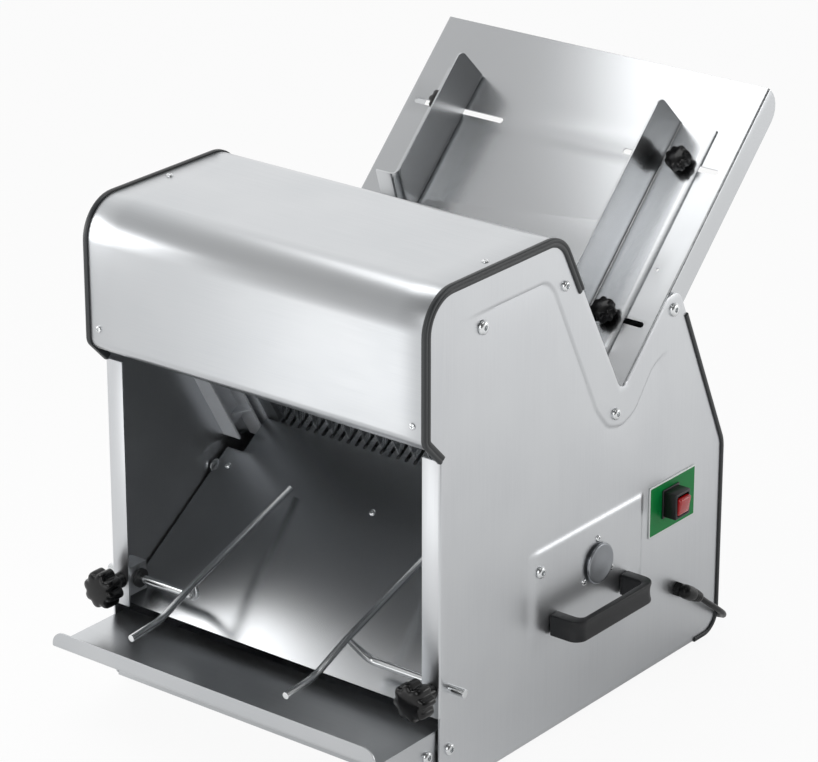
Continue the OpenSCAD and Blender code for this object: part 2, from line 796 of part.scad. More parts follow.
module bush_solid() difference() {
    union() {
        rod_x(panel_x - flange_w - seat_gap, flange_w - sheet, cross_y, cross_z, bush_r);
        rod_x(panel_x - flange_w - seat_gap - bush_collar_t, bush_collar_t, cross_y, cross_z,
              bush_collar_r);
    }
    rod_x(panel_x - flange_w - bush_collar_t - overrun, flange_w + bush_collar_t + overrun, cross_y,
          cross_z, cross_rod_d / 2 + run_gap);
}
module right_rod_bush() color(nylon_black) bush_solid();
module left_rod_bush() color(nylon_black) other_side() bush_solid();

function curve(p, q, r, t) = p * (1 - t) * (1 - t) + q * 2 * t * (1 - t) + r * t * t;
module catch_rod_solid() {
    side_line = [[rod_rear_y, rod_rear_z], [rod_join_y, rod_join_z], [rod_knee_y, rod_knee_z],
                 [rod_front_y, rod_front_z]];
    rod_line = [for (p = rounded_line(side_line, [rod_bend_r, rod_bend_r])) [catch_x, p.x, p.y]];
    bend = [cross_in_x, cross_y, cross_z];
    elbow = [(catch_x + cross_in_x) / 2, cross_y, cross_z];
    join = [catch_x, rod_join_y, rod_join_z];
    arm = [for (k = [0 : arm_steps]) curve(bend, elbow, join, k / arm_steps)];
    rod_x(cross_in_x, panel_x + rod_outside - cross_in_x, cross_y, cross_z, cross_rod_d / 2);
    tube(concat([bend + [rod_lap, 0, 0]], arm), cross_rod_d * arm_share / 2, rod_sides);
    tube(rod_line, catch_rod_d / 2, rod_sides);
}
module right_catch_rod() color(bright_steel) catch_rod_solid();
module left_catch_rod() color(bright_steel) other_side() catch_rod_solid();

module clamp_knob_solid() {
    back_y = flange_y - seat_gap;
    translate([clamp_x, back_y, cross_z]) rotate([90, 0, 0])
        star_knob(clamp_knob_d, clamp_knob_h, clamp_boss_h, clamp_boss_r, clamp_stud_r,
                  cross_y - bush_r - seat_gap - back_y);
}
module right_rod_knob() color(knob_black) clamp_knob_solid();
module left_rod_knob() color(knob_black) other_side() clamp_knob_solid();

// Blade frames and their rails
module rail_solid() on_blades() {
    fins = [rail_rib_t, front_t - slide_gap - rail_fin_t, front_t + frame_t + slide_gap,
            rear_t + frame_t + slide_gap];
    translate([inner_x - rail_base_t, rail_rib_t, rail_low_s])
        cube([rail_base_t, rear_t + frame_t + slide_gap + rail_fin_t - rail_rib_t,
              rail_top_s - rail_low_s]);
    translate([inner_x - rail_base_t, rail_front_t, rail_front_s])
        cube([rail_base_t, rail_rib_t - rail_front_t, rail_top_s - rail_front_s]);
    translate([rail_in_x, rail_front_t, rail_front_s])
        cube([inner_x - rail_base_t - rail_in_x, rail_fin_t, rail_top_s - rail_front_s]);
    for (t = fins) translate([rail_in_x, t, rail_low_s])
        cube([inner_x - rail_base_t - rail_in_x, rail_fin_t, rail_top_s - rail_low_s]);
    translate([0, 0, gusset_s]) linear_extrude(sheet) polygon([
        [rail_in_x, rail_rib_t], [inner_x - rail_base_t, rail_rib_t],
        [inner_x - rail_base_t, rail_rib_t - gusset_w]]);
}
module right_guide_rail() color(aluminium_grey) rail_solid();
module left_guide_rail() color(aluminium_grey) other_side() rail_solid();

function blade_xs(first) =
    [for (k = [first : 2 : blade_count - 1]) (k - (blade_count - 1) / 2) * blade_pitch];
module blade_frame(t, yoke_x, xs) on_blades() difference() {
    union() {
        translate([-frame_x, t, lower_s]) cube([2 * frame_x, frame_t, beam_h]);
        translate([-frame_x, t, upper_s]) cube([2 * frame_x, frame_t, beam_h]);
        both_sides() {
            translate([stile_in_x, t, lower_s]) cube([stile_w, frame_t, upper_s + beam_h - lower_s]);
            for (s = [shoe_low_s, shoe_top_s])
                translate([frame_x, t, s]) cube([shoe_reach, frame_t, shoe_h]);
            translate([yoke_x, t, 0]) cube([yoke_t, frame_t, lower_s]);
            translate([yoke_x, -yoke_half_t, -yoke_half_s])
                cube([yoke_t, 2 * yoke_half_t, 2 * yoke_half_s]);
        }
    }
    both_sides() translate([yoke_x - overrun, -yoke_slot_t, -yoke_slot_s])
        cube([yoke_t + 2 * overrun, 2 * yoke_slot_t, 2 * yoke_slot_s]);
    for (x = xs) translate([x - blade_t / 2 - blade_slot_gap, t + blade_inset - overrun,
                            lower_s + beam_h - blade_seat])
        cube([blade_t + 2 * blade_slot_gap, frame_t - blade_inset + 2 * overrun,
              upper_s - lower_s - beam_h + 2 * blade_seat]);
}
module blade_set(t, xs) on_blades() for (x = xs)
    translate([x - blade_t / 2, t + blade_inset, lower_s + beam_h - blade_seat])
        cube([blade_t, blade_w, upper_s - lower_s - beam_h + 2 * blade_seat]);
module front_blade_frame() color(aluminium_grey) blade_frame(front_t, front_yoke_x, blade_xs(0));
module rear_blade_frame() color(aluminium_grey) blade_frame(rear_t, rear_yoke_x, blade_xs(1));
module front_blades() color(bright_steel) blade_set(front_t, blade_xs(0));
module rear_blades() color(bright_steel) blade_set(rear_t, blade_xs(1));

// Crank, belt and motor
module crankshaft() color(bright_steel) on_blades() {
    rod_x(-inner_x + bearing_end_gap, 2 * (inner_x - bearing_end_gap), 0, 0, crank_r);
    both_sides() {
        rod_x(front_yoke_x + (yoke_t - eccentric_t) / 2, eccentric_t, throw, 0, eccentric_r);
        rod_x(rear_yoke_x + (yoke_t - eccentric_t) / 2, eccentric_t, -throw, 0, eccentric_r);
    }
}
module crank_bearings() color(dark_steel) both_sides() difference() {
    union() {
        rod_x(inner_x - bearing_flange_t, bearing_flange_t, crank_y, crank_z, bearing_r);
        rod_x(inner_x - bearing_l, bearing_l, crank_y, crank_z, bearing_hub_r);
    }
    rod_x(inner_x - bearing_l - overrun, bearing_l + 2 * overrun, crank_y, crank_z, crank_r + run_gap);
}
module bearing_caps() color(steel_grey) both_sides() {
    rod_x(pad_x, cap_neck_t, crank_y, crank_z, cap_neck_r);
    rod_x(pad_x + cap_neck_t, cap_t, crank_y, crank_z, cap_r);
}
module cap_screws() color(bright_steel) both_sides() for (a = [90, 210, 330])
    rod_x(pad_x, screw_head_h, crank_y + cap_screw_r * cos(a), crank_z + cap_screw_r * sin(a),
          screw_head_r);

module pulley(r, bore) rotate([0, 90, 0]) rotate_extrude() polygon([
    [bore, 0], [r, 0], [r, (pulley_w - groove_w) / 2], [r - groove_d, (pulley_w - groove_w) / 2],
    [r - groove_d, (pulley_w + groove_w) / 2], [r, (pulley_w + groove_w) / 2], [r, pulley_w],
    [bore, pulley_w]]);
module crank_pulley() color(dark_steel)
    translate([-pulley_in_x - pulley_w, crank_y, crank_z]) pulley(crank_pulley_r, crank_r + run_gap);
module motor_pulley() color(dark_steel)
    translate([-pulley_in_x - pulley_w, motor_y, motor_z])
        pulley(motor_pulley_r, motor_shaft_r + run_gap);
function arc_points(c, r, a0, a1) =
    [for (k = [0 : 4 * arc_steps]) c + r * [cos(a0 + (a1 - a0) * k / (4 * arc_steps)),
                                            sin(a0 + (a1 - a0) * k / (4 * arc_steps))]];
function belt_loop(grow) =
    let (
        a = [crank_y, crank_z],
        b = [motor_y, motor_z],
        ra = crank_pulley_r - groove_d + grow,
        rb = motor_pulley_r - groove_d + grow,
        dir = atan2(b.y - a.y, b.x - a.x),
        lap = acos((ra - rb) / norm(b - a))
    )
    concat(arc_points(a, ra, dir + lap, dir + 360 - lap), arc_points(b, rb, dir - lap, dir + lap));
module drive_belt() color(rubber_black) along_x(-belt_x - belt_w / 2, belt_w) difference() {
    polygon(belt_loop(slide_gap + belt_t));
    polygon(belt_loop(slide_gap));
}
module motor_shaft() color(bright_steel)
    rod_x(-pulley_in_x - pulley_w, pulley_in_x + pulley_w - motor_end_x + motor_bore_l / 2, motor_y,
          motor_z, motor_shaft_r);
module motor() color(motor_grey) difference() {
    bell = motor_l * bell_share;
    union() {
        rod_x(-motor_end_x, bell, motor_y, motor_z, motor_r);
        rod_x(-motor_end_x + bell, motor_l - 2 * bell, motor_y, motor_z, motor_r - motor_rib_h);
        rod_x(-motor_end_x + motor_l - bell, bell, motor_y, motor_z, motor_r);
        for (x = [bell + motor_rib_pitch : motor_rib_pitch : motor_l - bell - motor_rib_pitch / 2])
            rod_x(-motor_end_x + x - motor_rib_w / 2, motor_rib_w, motor_y, motor_z,
                  motor_r - motor_rib_h / 3);
    }
    rod_x(-motor_end_x - overrun, motor_bore_l + overrun, motor_y, motor_z, motor_shaft_r + run_gap);
}
module motor_bracket() color(dark_steel) difference() {
    for (x = [-motor_end_x, -motor_end_x + motor_l - bracket_w])
        translate([x, motor_y - bracket_l / 2, foot_h + sheet])
            cube([bracket_w, bracket_l, motor_z - foot_h - sheet - bracket_inset]);
    rod_x(-motor_end_x - overrun, motor_l + 2 * overrun, motor_y, motor_z, motor_r + seat_gap);
}
module capacitor() color(dark_steel) translate([capacitor_x, motor_y, foot_h + sheet]) {
    cylinder(r = capacitor_r, h = capacitor_h);
    for (side = [-1, 1]) translate([side * capacitor_r / 2, 0, capacitor_h])
        cylinder(r = terminal_r, h = terminal_h);
}

// Handles
module handle_solid() translate([pad_x, handle_y - handle_l / 2, handle_z - handle_h / 2])
    linear_extrude(handle_h) polygon(concat(
        rounded_line([[0, 0], [handle_reach, 0], [handle_reach, handle_l], [0, handle_l]],
                     [handle_r, handle_r]),
        reversed(rounded_line([[0, handle_arm], [handle_reach - handle_grip, handle_arm],
                               [handle_reach - handle_grip, handle_l - handle_arm],
                               [0, handle_l - handle_arm]], [handle_r / 2, handle_r / 2]))));
module right_handle() color("#38393b") handle_solid();
module left_handle() color("#38393b") other_side() handle_solid();

// Switch
rocker_y = switch_y + switch_offset_y;
rocker_z = switch_z + switch_offset_z;
rocker_x = panel_x + switch_plate_t + switch_d;
module switch_plate() color("#1a8a46")
    translate([panel_x, switch_y - switch_plate_w / 2, switch_z - switch_plate_h / 2])
        cube([switch_plate_t, switch_plate_w, switch_plate_h]);
module switch_body() color(knob_black) difference() {
    union() {
        translate([panel_x + switch_plate_t, rocker_y - switch_w / 2, rocker_z - switch_h / 2])
            cube([switch_d, switch_w, switch_h]);
        translate([panel_x + switch_plate_t, rocker_y - switch_w / 2 - switch_bezel,
                   rocker_z - switch_h / 2 - switch_bezel])
            cube([switch_bezel, switch_w + 2 * switch_bezel, switch_h + 2 * switch_bezel]);
    }
    translate([rocker_x - rocker_depth - 2 * switch_wall, rocker_y - switch_w / 2 + switch_wall,
               rocker_z - switch_h / 2 + switch_wall])
        cube([rocker_depth + 2 * switch_wall + overrun, switch_w - 2 * switch_wall,
              switch_h - 2 * switch_wall]);
    translate([rocker_x - rocker_depth / 2, rocker_y - switch_w / 2 + switch_wall / 2, rocker_z])
        rotate([-90, 0, 0]) cylinder(r = rocker_pin_r + run_gap, h = switch_w - switch_wall);
}
module switch_rocker() color("#b3181c")
    translate([rocker_x - rocker_depth / 2, rocker_y, rocker_z]) rotate([0, rocker_tilt, 0]) {
        half_y = switch_w / 2 - switch_wall - rocker_side_gap;
        half_z = switch_h / 2 - switch_wall - rocker_play;
        pin_l = switch_w - switch_wall - 2 * seat_gap;
        translate([0, -half_y, -half_z]) cube([rocker_depth / 2 + rocker_out, 2 * half_y, 2 * half_z]);
        translate([0, -pin_l / 2, 0]) rotate([-90, 0, 0]) cylinder(r = rocker_pin_r, h = pin_l);
    }

// Cord
module cable_gland() color(knob_black) {
    tip = cord_route[0];
    ball = [panel_x + gland_nut_h + gland_ball_r / 2, gland_y, gland_z];
    rod_x(panel_x, gland_nut_h, gland_y, gland_z, gland_nut_r);
    translate(ball) sphere(r = gland_ball_r);
    d = tip - ball;
    translate(ball) rotate([0, acos(d.z / norm(d)), atan2(d.y, d.x)])
        cylinder(r1 = gland_ball_r * gland_cone_share, r2 = gland_mouth_r, h = norm(d));
}
module power_cord() color(rubber_black) tube(cord_route, cord_r, cord_sides);
module cord_coil() color(rubber_black) tube(coil_line, cord_r, coil_sides);
tie_in_x = coil_r - coil_pitch * coil_turns / 2 - cord_r - tie_gap;
tie_out_x = coil_r + cord_r + tie_gap;
tie_low_z = coil_start.z - cord_r - tie_gap;
tie_top_z = coil_start.z + coil_pitch + cord_r + tie_gap;
module cord_tie() color(knob_black) translate([coil_centre.x, coil_centre.y + tie_w / 2, 0])
    rotate([90, 0, 0]) linear_extrude(tie_w) difference() {
        polygon(box_corners(tie_in_x - tie_t, tie_low_z - tie_t, tie_out_x + tie_t, tie_top_z + tie_t));
        polygon(box_corners(tie_in_x, tie_low_z, tie_out_x, tie_top_z));
    }
module mains_plug() color(knob_black) translate(plug_start) rotate([0, -90, 0]) {
    cylinder(r1 = cord_r + sheet, r2 = plug_r, h = plug_neck_l);
    translate([0, 0, plug_neck_l]) cylinder(r = plug_r, h = plug_l - plug_neck_l);
    for (side = [-1, 1]) translate([0, side * plug_pin_x, plug_l]) cylinder(r = plug_pin_r, h = plug_pin_l);
}

left_side_panel();
right_side_panel();
left_edge_trim();
right_edge_trim();
head_cover();
cover_screws();
feed_chute();
discharge_plate();
discharge_screws();
left_guide_rail();
right_guide_rail();
front_tray();
tray_bolts();
base_plate();
rear_cover();
rubber_feet();
left_handle();
right_handle();
bearing_caps();
cap_screws();
crank_bearings();
tie_bars();
panel_bolts();
switch_plate();
switch_body();
switch_rocker();
cable_gland();
power_cord();
cord_coil();
cord_tie();
mains_plug();
motor();
motor_bracket();
capacitor();
drive_belt();
rod_holders();
front_blade_frame();
front_blades();
rear_blade_frame();
rear_blades();
crankshaft();
crank_pulley();
motor_shaft();
motor_pulley();
left_rod_bush();
right_rod_bush();
left_catch_rod();
right_catch_rod();
left_rod_knob();
right_rod_knob();
left_bread_guide();
right_bread_guide();
left_guide_nuts();
right_guide_nuts();
upper_left_knob();
lower_left_knob();
upper_right_knob();
lower_right_knob();
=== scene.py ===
import math
from types import SimpleNamespace as Sizes
import bpy
import numpy as np
from mathutils import Matrix, Vector, geometry


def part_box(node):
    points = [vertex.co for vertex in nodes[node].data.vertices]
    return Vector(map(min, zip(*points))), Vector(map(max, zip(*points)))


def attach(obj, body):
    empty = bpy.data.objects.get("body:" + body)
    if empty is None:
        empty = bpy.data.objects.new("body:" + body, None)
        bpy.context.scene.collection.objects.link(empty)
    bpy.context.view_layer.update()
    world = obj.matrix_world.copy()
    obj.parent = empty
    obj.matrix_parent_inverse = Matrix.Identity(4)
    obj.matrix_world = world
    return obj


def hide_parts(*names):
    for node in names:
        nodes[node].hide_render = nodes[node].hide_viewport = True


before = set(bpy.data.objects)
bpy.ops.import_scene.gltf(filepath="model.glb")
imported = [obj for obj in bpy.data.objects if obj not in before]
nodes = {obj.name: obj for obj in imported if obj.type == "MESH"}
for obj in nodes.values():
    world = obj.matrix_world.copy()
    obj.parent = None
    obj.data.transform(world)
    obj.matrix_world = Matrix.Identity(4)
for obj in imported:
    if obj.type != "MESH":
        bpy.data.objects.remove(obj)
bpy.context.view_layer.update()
print("frame loaded:", len(nodes), "nodes")

# Pieces are modelled in millimetres and brought to metres when they are finished
toMetres = 0.001
# Points that lie closer than this many millimetres are welded
weldGap = 0.0005

# Camera, at the photograph's viewing angle
cameraSetup = Sizes(place=(2.3510, -2.9872, 1.9045), azimuth=38.34, elevation=22.32, lens=162.6,
    sensor=36, clipEnd=200)
bpy.ops.object.camera_add(location=cameraSetup.place, rotation=(math.radians(90 - cameraSetup.elevation),
        0, math.radians(cameraSetup.azimuth)))
camera = bpy.context.object
camera.data.lens = cameraSetup.lens
camera.data.sensor_width = cameraSetup.sensor
camera.data.clip_end = cameraSetup.clipEnd
bpy.context.scene.camera = camera


# Helpers for modelling
def nothingSelected():
    if bpy.context.object and bpy.context.object.mode != "OBJECT":
        bpy.ops.object.mode_set(mode="OBJECT")
    bpy.ops.object.select_all(action="DESELECT")


def onlyThis(piece):
    nothingSelected()
    piece.select_set(True)
    bpy.context.view_layer.objects.active = piece


def pick(piece, kind, test):  # leaves edit mode on with only the tested items selected
    onlyThis(piece)
    mesh = piece.data
    for group in (mesh.vertices, mesh.edges, mesh.polygons):
        group.foreach_set("select", [False] * len(group))
    group = {"VERT": mesh.vertices, "EDGE": mesh.edges, "FACE": mesh.polygons}[kind]
    for item in group:
        item.select = bool(test(item))
    bpy.context.tool_settings.mesh_select_mode = (kind == "VERT", kind == "EDGE", kind == "FACE")
    bpy.ops.object.mode_set(mode="EDIT")


def objectMode():
    bpy.ops.object.mode_set(mode="OBJECT")


def applyModifier(piece, kind, **settings):
    onlyThis(piece)
    modifier = piece.modifiers.new(kind.title(), kind)
    for key, value in settings.items():
        setattr(modifier, key, value)
    bpy.ops.object.modifier_apply(modifier=modifier.name)


def softenEdges(piece, width, segments=2, angle=40):
    applyModifier(piece, "BEVEL", width=width, segments=segments, limit_method="ANGLE",
        angle_limit=math.radians(angle))


def editAll(piece):  # leaves edit mode on with everything selected
    onlyThis(piece)
    bpy.ops.object.mode_set(mode="EDIT")
    bpy.ops.mesh.select_all(action="SELECT")


def faceOutwards(piece):
    editAll(piece)
    bpy.ops.mesh.remove_doubles(threshold=weldGap)
    bpy.ops.mesh.normals_make_consistent(inside=False)
    objectMode()


def turn(degrees, axis):
    return Matrix.Rotation(math.radians(degrees), 4, axis)


def placed(piece, matrix):
    onlyThis(piece)
    piece.matrix_world = matrix
    bpy.ops.object.transform_apply(location=True, rotation=True, scale=True)
    return piece


def copied(piece, matrix):
    nothingSelected()
    twin = piece.copy()
    twin.data = piece.data.copy()
    bpy.context.collection.objects.link(twin)
    return placed(twin, matrix)


def mirrored(piece):
    twin = copied(piece, Matrix.Scale(-1, 4, (1, 0, 0)))
    faceOutwards(twin)
    return twin


def joined(pieces):
    nothingSelected()
    for piece in pieces:
        piece.select_set(True)
    bpy.context.view_layer.objects.active = pieces[0]
    bpy.ops.object.join()
    return pieces[0]


def finished(piece, name, materials, node, smoothAngle=35, body="cabinet"):
    onlyThis(piece)
    piece.name = name
    piece.data.name = name
    piece.matrix_world = Matrix.Scale(toMetres, 4)
    bpy.ops.object.transform_apply(location=True, rotation=True, scale=True)
    bpy.ops.object.shade_smooth_by_angle(angle=math.radians(smoothAngle))
    if not isinstance(materials, (list, tuple)):
        materials = [materials]
    marks = [face.material_index for face in piece.data.polygons]
    piece.data.materials.clear()
    for material in materials:
        piece.data.materials.append(material)
    piece.data.polygons.foreach_set("material_index", marks)
    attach(piece, body)
    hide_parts(node)
    nothingSelected()
    return piece


def finishedPair(right, name, material, node, smoothAngle, bodyName=None):  # with its mirror image
    left = mirrored(right)
    for piece, side in ((right, "right"), (left, "left")):
        body = side + "_" + bodyName if bodyName else "cabinet"
        finished(piece, side + name, material, side + "_" + node, smoothAngle, body)


def cutAway(piece, cutter):
    applyModifier(piece, "BOOLEAN", object=cutter, operation="DIFFERENCE", solver="EXACT")
    bpy.data.objects.remove(cutter)


def drawIn(vertex, share):  # towards the z axis
    vertex.co.x *= share
    vertex.co.y *= share


def hexReach(vertex):  # distance to the side of a hexagon, in this direction, where its corners are 1 away
    angle = math.atan2(vertex.co.y, vertex.co.x) % (math.pi / 3) - math.pi / 6
    return math.cos(math.pi / 6) / math.cos(angle)


def roundCut(radius, drop):  # how far a rounded corner draws in at this distance from the edge
    return radius - math.sqrt(max(0, radius * radius - (radius - drop) ** 2)) if drop < radius else 0


# Outlines with rounded corners, and lines beside a line
def roundCorner(before, at, after, radius, steps):
    toBefore = (before - at).normalized()
    toAfter = (after - at).normalized()
    half = math.acos(max(-1, min(1, toBefore.dot(toAfter)))) / 2
    if radius <= 0 or abs(half - math.pi / 2) < 0.001:
        return [at.copy()]
    centre = at + (toBefore + toAfter).normalized() * radius / math.sin(half)
    first = at + toBefore * radius / math.tan(half) - centre
    last = at + toAfter * radius / math.tan(half) - centre
    start = math.atan2(first.y, first.x)
    sweep = (math.atan2(last.y, last.x) - start + math.pi) % (2 * math.pi) - math.pi
    angles = [start + sweep * k / steps for k in range(steps + 1)]
    return [centre + radius * Vector((math.cos(angle), math.sin(angle))) for angle in angles]


def roundedOutline(corners, radii, steps=8):
    points = [Vector(c) for c in corners]
    count = len(points)
    outline = []
    for i in range(count):
        outline += roundCorner(points[i - 1], points[i], points[(i + 1) % count], radii[i], steps)
    return outline


def roundedLine(corners, radii, steps=8):
    points = [Vector(c) for c in corners]
    line = [points[0]]
    for i in range(1, len(points) - 1):
        line += roundCorner(points[i - 1], points[i], points[i + 1], radii[i - 1], steps)
    return line + [points[-1]]


def leftOf(a, b):
    along = (b - a).normalized()
    return Vector((-along.y, along.x))


def besideLine(corners, distance):
    points = [Vector(c) for c in corners]
    moved = [points[0] + leftOf(points[0], points[1]) * distance]
    for a, b, c in zip(points, points[1:], points[2:]):
        one, two = leftOf(a, b), leftOf(b, c)
        moved.append(b + (one + two) * distance / (1 + one.dot(two)))
    return moved + [points[-1] + leftOf(points[-2], points[-1]) * distance]


# Starts of pieces: a turned solid, a flat outline, a block, a folded sheet, a swept section
def started(make, **settings):
    nothingSelected()
    make(**settings)
    return bpy.context.object


def linked(data):
    piece = bpy.data.objects.new(data.name, data)
    bpy.context.collection.objects.link(piece)
    return piece


def turnedPiece(profile, sides=48):
    radius, height = profile[0]
    piece = started(bpy.ops.mesh.primitive_circle_add, vertices=sides, radius=radius, fill_type="NGON",
        location=(0, 0, height))
    bpy.ops.object.transform_apply(location=True)
    editAll(piece)
    for nextRadius, nextHeight in profile[1:]:
        bpy.ops.mesh.extrude_region_move(TRANSFORM_OT_translate={"value": (0, 0, nextHeight - height)})
        share = nextRadius / radius
        bpy.ops.transform.resize(value=(share, share, 1), center_override=(0, 0, nextHeight))
        radius, height = nextRadius, nextHeight
    bpy.ops.mesh.select_all(action="SELECT")
    bpy.ops.mesh.normals_make_consistent(inside=False)
    objectMode()
    return piece


def flatOutline(points):  # points are 3-D, in order round the edge
    piece = started(bpy.ops.mesh.primitive_circle_add, vertices=len(points), fill_type="NGON")
    for vertex, point in zip(piece.data.vertices, points):
        vertex.co = point
    return piece


def plainBlock(centre, size):
    piece = started(bpy.ops.mesh.primitive_cube_add, size=1, location=centre)
    piece.scale = size
    bpy.ops.object.transform_apply(location=True, scale=True)
    return piece


def thickened(piece, offset):  # pulls a flat outline out into a solid
    editAll(piece)
    bpy.ops.mesh.extrude_region_move(TRANSFORM_OT_translate={"value": offset})
    objectMode()
    faceOutwards(piece)
    return piece


def foldedSheet(section, pulls):  # an open section line, pulled along the given steps
    count = len(section)
    piece = started(bpy.ops.mesh.primitive_circle_add, vertices=count, fill_type="NOTHING")
    pick(piece, "EDGE", lambda edge: set(edge.vertices) == {0, count - 1})
    bpy.ops.mesh.delete(type="EDGE_FACE")
    objectMode()
    for vertex, point in zip(piece.data.vertices, section):
        vertex.co = point
    bpy.ops.object.mode_set(mode="EDIT")
    bpy.context.tool_settings.mesh_select_mode = (False, True, False)
    bpy.ops.mesh.select_all(action="SELECT")
    for pull in pulls:
        bpy.ops.mesh.extrude_region_move(TRANSFORM_OT_translate={"value": pull})
    bpy.ops.mesh.select_all(action="SELECT")
    bpy.ops.mesh.normals_make_consistent(inside=False)
    objectMode()
    return piece


def sheetThickness(piece, thickness, soft=0.35):
    applyModifier(piece, "SOLIDIFY", thickness=thickness, offset=0)
    softenEdges(piece, soft)
    return piece


def sweptSection(line, section):  # line in front-to-back and height; section as (outward offset, x)
    rows, columns = len(line), len(section)
    piece = started(bpy.ops.mesh.primitive_grid_add, x_subdivisions=columns, y_subdivisions=rows - 1)
    place = []
    for i, point in enumerate(line):
        before, after = line[max(i - 1, 0)], line[min(i + 1, rows - 1)]
        outward = leftOf(before, after)
        for k in range(columns + 1):
            offset, x = section[k % columns]
            spot = point + outward * offset
            place.append((x, spot.x, spot.y))
    for vertex, spot in zip(piece.data.vertices, place):
        vertex.co = spot
    editAll(piece)
    bpy.ops.mesh.remove_doubles(threshold=weldGap)
    bpy.ops.mesh.select_all(action="SELECT")
    bpy.ops.mesh.fill_holes(sides=0)
    objectMode()
    faceOutwards(piece)
    return piece


def curveAlong(name, line, radius, roundness):
    curve = bpy.data.curves.new(name, "CURVE")
    curve.dimensions = "3D"
    curve.bevel_depth = radius
    curve.bevel_resolution = roundness
    curve.use_fill_caps = True
    spline = curve.splines.new("POLY")
    spline.points.add(len(line) - 1)
    for spot, point in zip(spline.points, line):
        spot.co = (*point, 1)
    return linked(curve)


def steps(low, high, ends, middle):  # positions that are close at both ends
    close = [0, 0.6, 1.6, 3.5, 6, 9, 13, 18, 25]
    close = [c for c in close if c <= ends]
    inner = [low + ends + (high - low - 2 * ends) * k / middle for k in range(1, middle)]
    return [low + c for c in close] + inner + [high - c for c in reversed(close)]


def pullsAlong(axis, positions):
    return [tuple((b - a) * part for part in axis) for a, b in zip(positions, positions[1:])]


# Materials
def linearColor(text):
    values = [int(text[i:i + 2], 16) / 255 for i in (1, 3, 5)]
    return tuple(v / 12.92 if v <= 0.04045 else ((v + 0.055) / 1.055) ** 2.4 for v in values) + (1.0,)


def addNode(tree, kind, settings=None, inputs=None):
    node = tree.nodes.new(kind)
    for key, value in (settings or {}).items():
        setattr(node, key, value)
    for key, value in (inputs or {}).items():
        if isinstance(value, bpy.types.NodeSocket):
            tree.links.new(value, node.inputs[key])
        else:
            node.inputs[key].default_value = value
    return node


def ranged(tree, value, span, shares=(0, 1)):
    names = ("From Min", "From Max", "To Min", "To Max")
    inputs = {"Value": value, **dict(zip(names, (*span, *shares)))}
    return addNode(tree, "ShaderNodeMapRange", inputs=inputs).outputs["Result"]


def combined(tree, operation, first, second, kind="ShaderNodeMath"):
    return addNode(tree, kind, {"operation": operation}, {0: first, 1: second}).outputs["Value"]


# Height of the bumps in metres, and how every surface's fine grain and broad clouding are drawn
bumpDepth = 0.0002
grainDetail = 3.0
cloudScale = 9.0
cloudDetail = 2.0
noiseMiddle = (0.3, 0.7)


def surface(name, color, second, rough, grain, bump, metallic=0.0, sockets=None):
    # grain is the size of the pattern in millimetres along x, y and z
    material = bpy.data.materials.new(name)
    material.use_nodes = True
    tree = material.node_tree
    shader = tree.nodes["Principled BSDF"]
    shader.inputs["Metallic"].default_value = metallic
    for key, value in (sockets or {}).items():
        shader.inputs[key].default_value = value
    spot = addNode(tree, "ShaderNodeTexCoord")
    scale = tuple(1 / (size * toMetres) for size in grain)
    spread = addNode(tree, "ShaderNodeMapping", inputs={"Vector": spot.outputs["Object"], "Scale": scale})
    fine = addNode(tree, "ShaderNodeTexNoise", inputs={"Vector": spread.outputs["Vector"], "Scale": 1.0,
            "Detail": grainDetail})
    cloud = addNode(tree, "ShaderNodeTexNoise", inputs={"Vector": spot.outputs["Object"],
            "Scale": cloudScale, "Detail": cloudDetail})
    height = fine.outputs["Fac"]
    tree.links.new(ranged(tree, height, noiseMiddle, rough), shader.inputs["Roughness"])
    share = combined(tree, "MULTIPLY", ranged(tree, cloud.outputs["Fac"], noiseMiddle), height)
    tint = addNode(tree, "ShaderNodeMix", {"data_type": "RGBA"},
        {0: share, 6: linearColor(color), 7: linearColor(second)})
    tree.links.new(tint.outputs[2], shader.inputs["Base Color"])
    if bump:
        relief = addNode(tree, "ShaderNodeBump", inputs={"Height": height, "Strength": bump,
                "Distance": bumpDepth})
        tree.links.new(relief.outputs["Normal"], shader.inputs["Normal"])
    return material


# Brushed 304 sheet: soft grey mirror, drawn out along the rolling direction. Its brush lines, really
# 0.2 mm apart, are drawn at 1.2 mm so that they show
satinAcross = surface("brushedStainlessAcross", "#c4c6c8", "#b9bcbf", metallic=1.0, rough=(0.28, 0.33),
    grain=(90, 1.2, 1.2), bump=0.02)
satinUpright = surface("brushedStainlessUpright", "#cfd1d3", "#c6c8cb", metallic=1.0, rough=(0.32, 0.37),
    grain=(1.2, 1.2, 90), bump=0.02)
# Bright-annealed sheet of the feed: smoother and even, so that the guides and the slots mirror in it.
# Its broad grain follows the roll marks, about 40 mm apart
brightFeed = surface("brightAnnealedSheet", "#c6c8ca", "#c2c4c6", metallic=1.0, rough=(0.265, 0.27),
    grain=(40, 40, 240), bump=0)
brightGuide = surface("polishedGuideSheet", "#c6c8ca", "#c2c4c6", metallic=1.0, rough=(0.235, 0.24),
    grain=(40, 40, 240), bump=0)
# Polished round bar and screws: clear small highlights with faint turning marks
polishedBar = surface("polishedSteelBar", "#e0e2e3", "#d4d7d9", metallic=1.0, rough=(0.2, 0.23),
    grain=(3, 3, 3), bump=0.004)
# Pressure-cast aluminium: dull grey with a fine sandy skin of about 1 mm
castAluminium = surface("castAluminium", "#b4b8ba", "#a4a8ab", metallic=1.0, rough=(0.38, 0.5),
    grain=(1.0, 1.0, 1.0), bump=0.12)
# Vapour-blasted aluminium of the guide rails: pale and dull, lit rather than mirrored
blastedRail = surface("blastedAluminium", "#d0d3d7", "#c3c6ca", metallic=0.2, rough=(0.42, 0.52),
    grain=(0.8, 0.8, 0.8), bump=0.08)
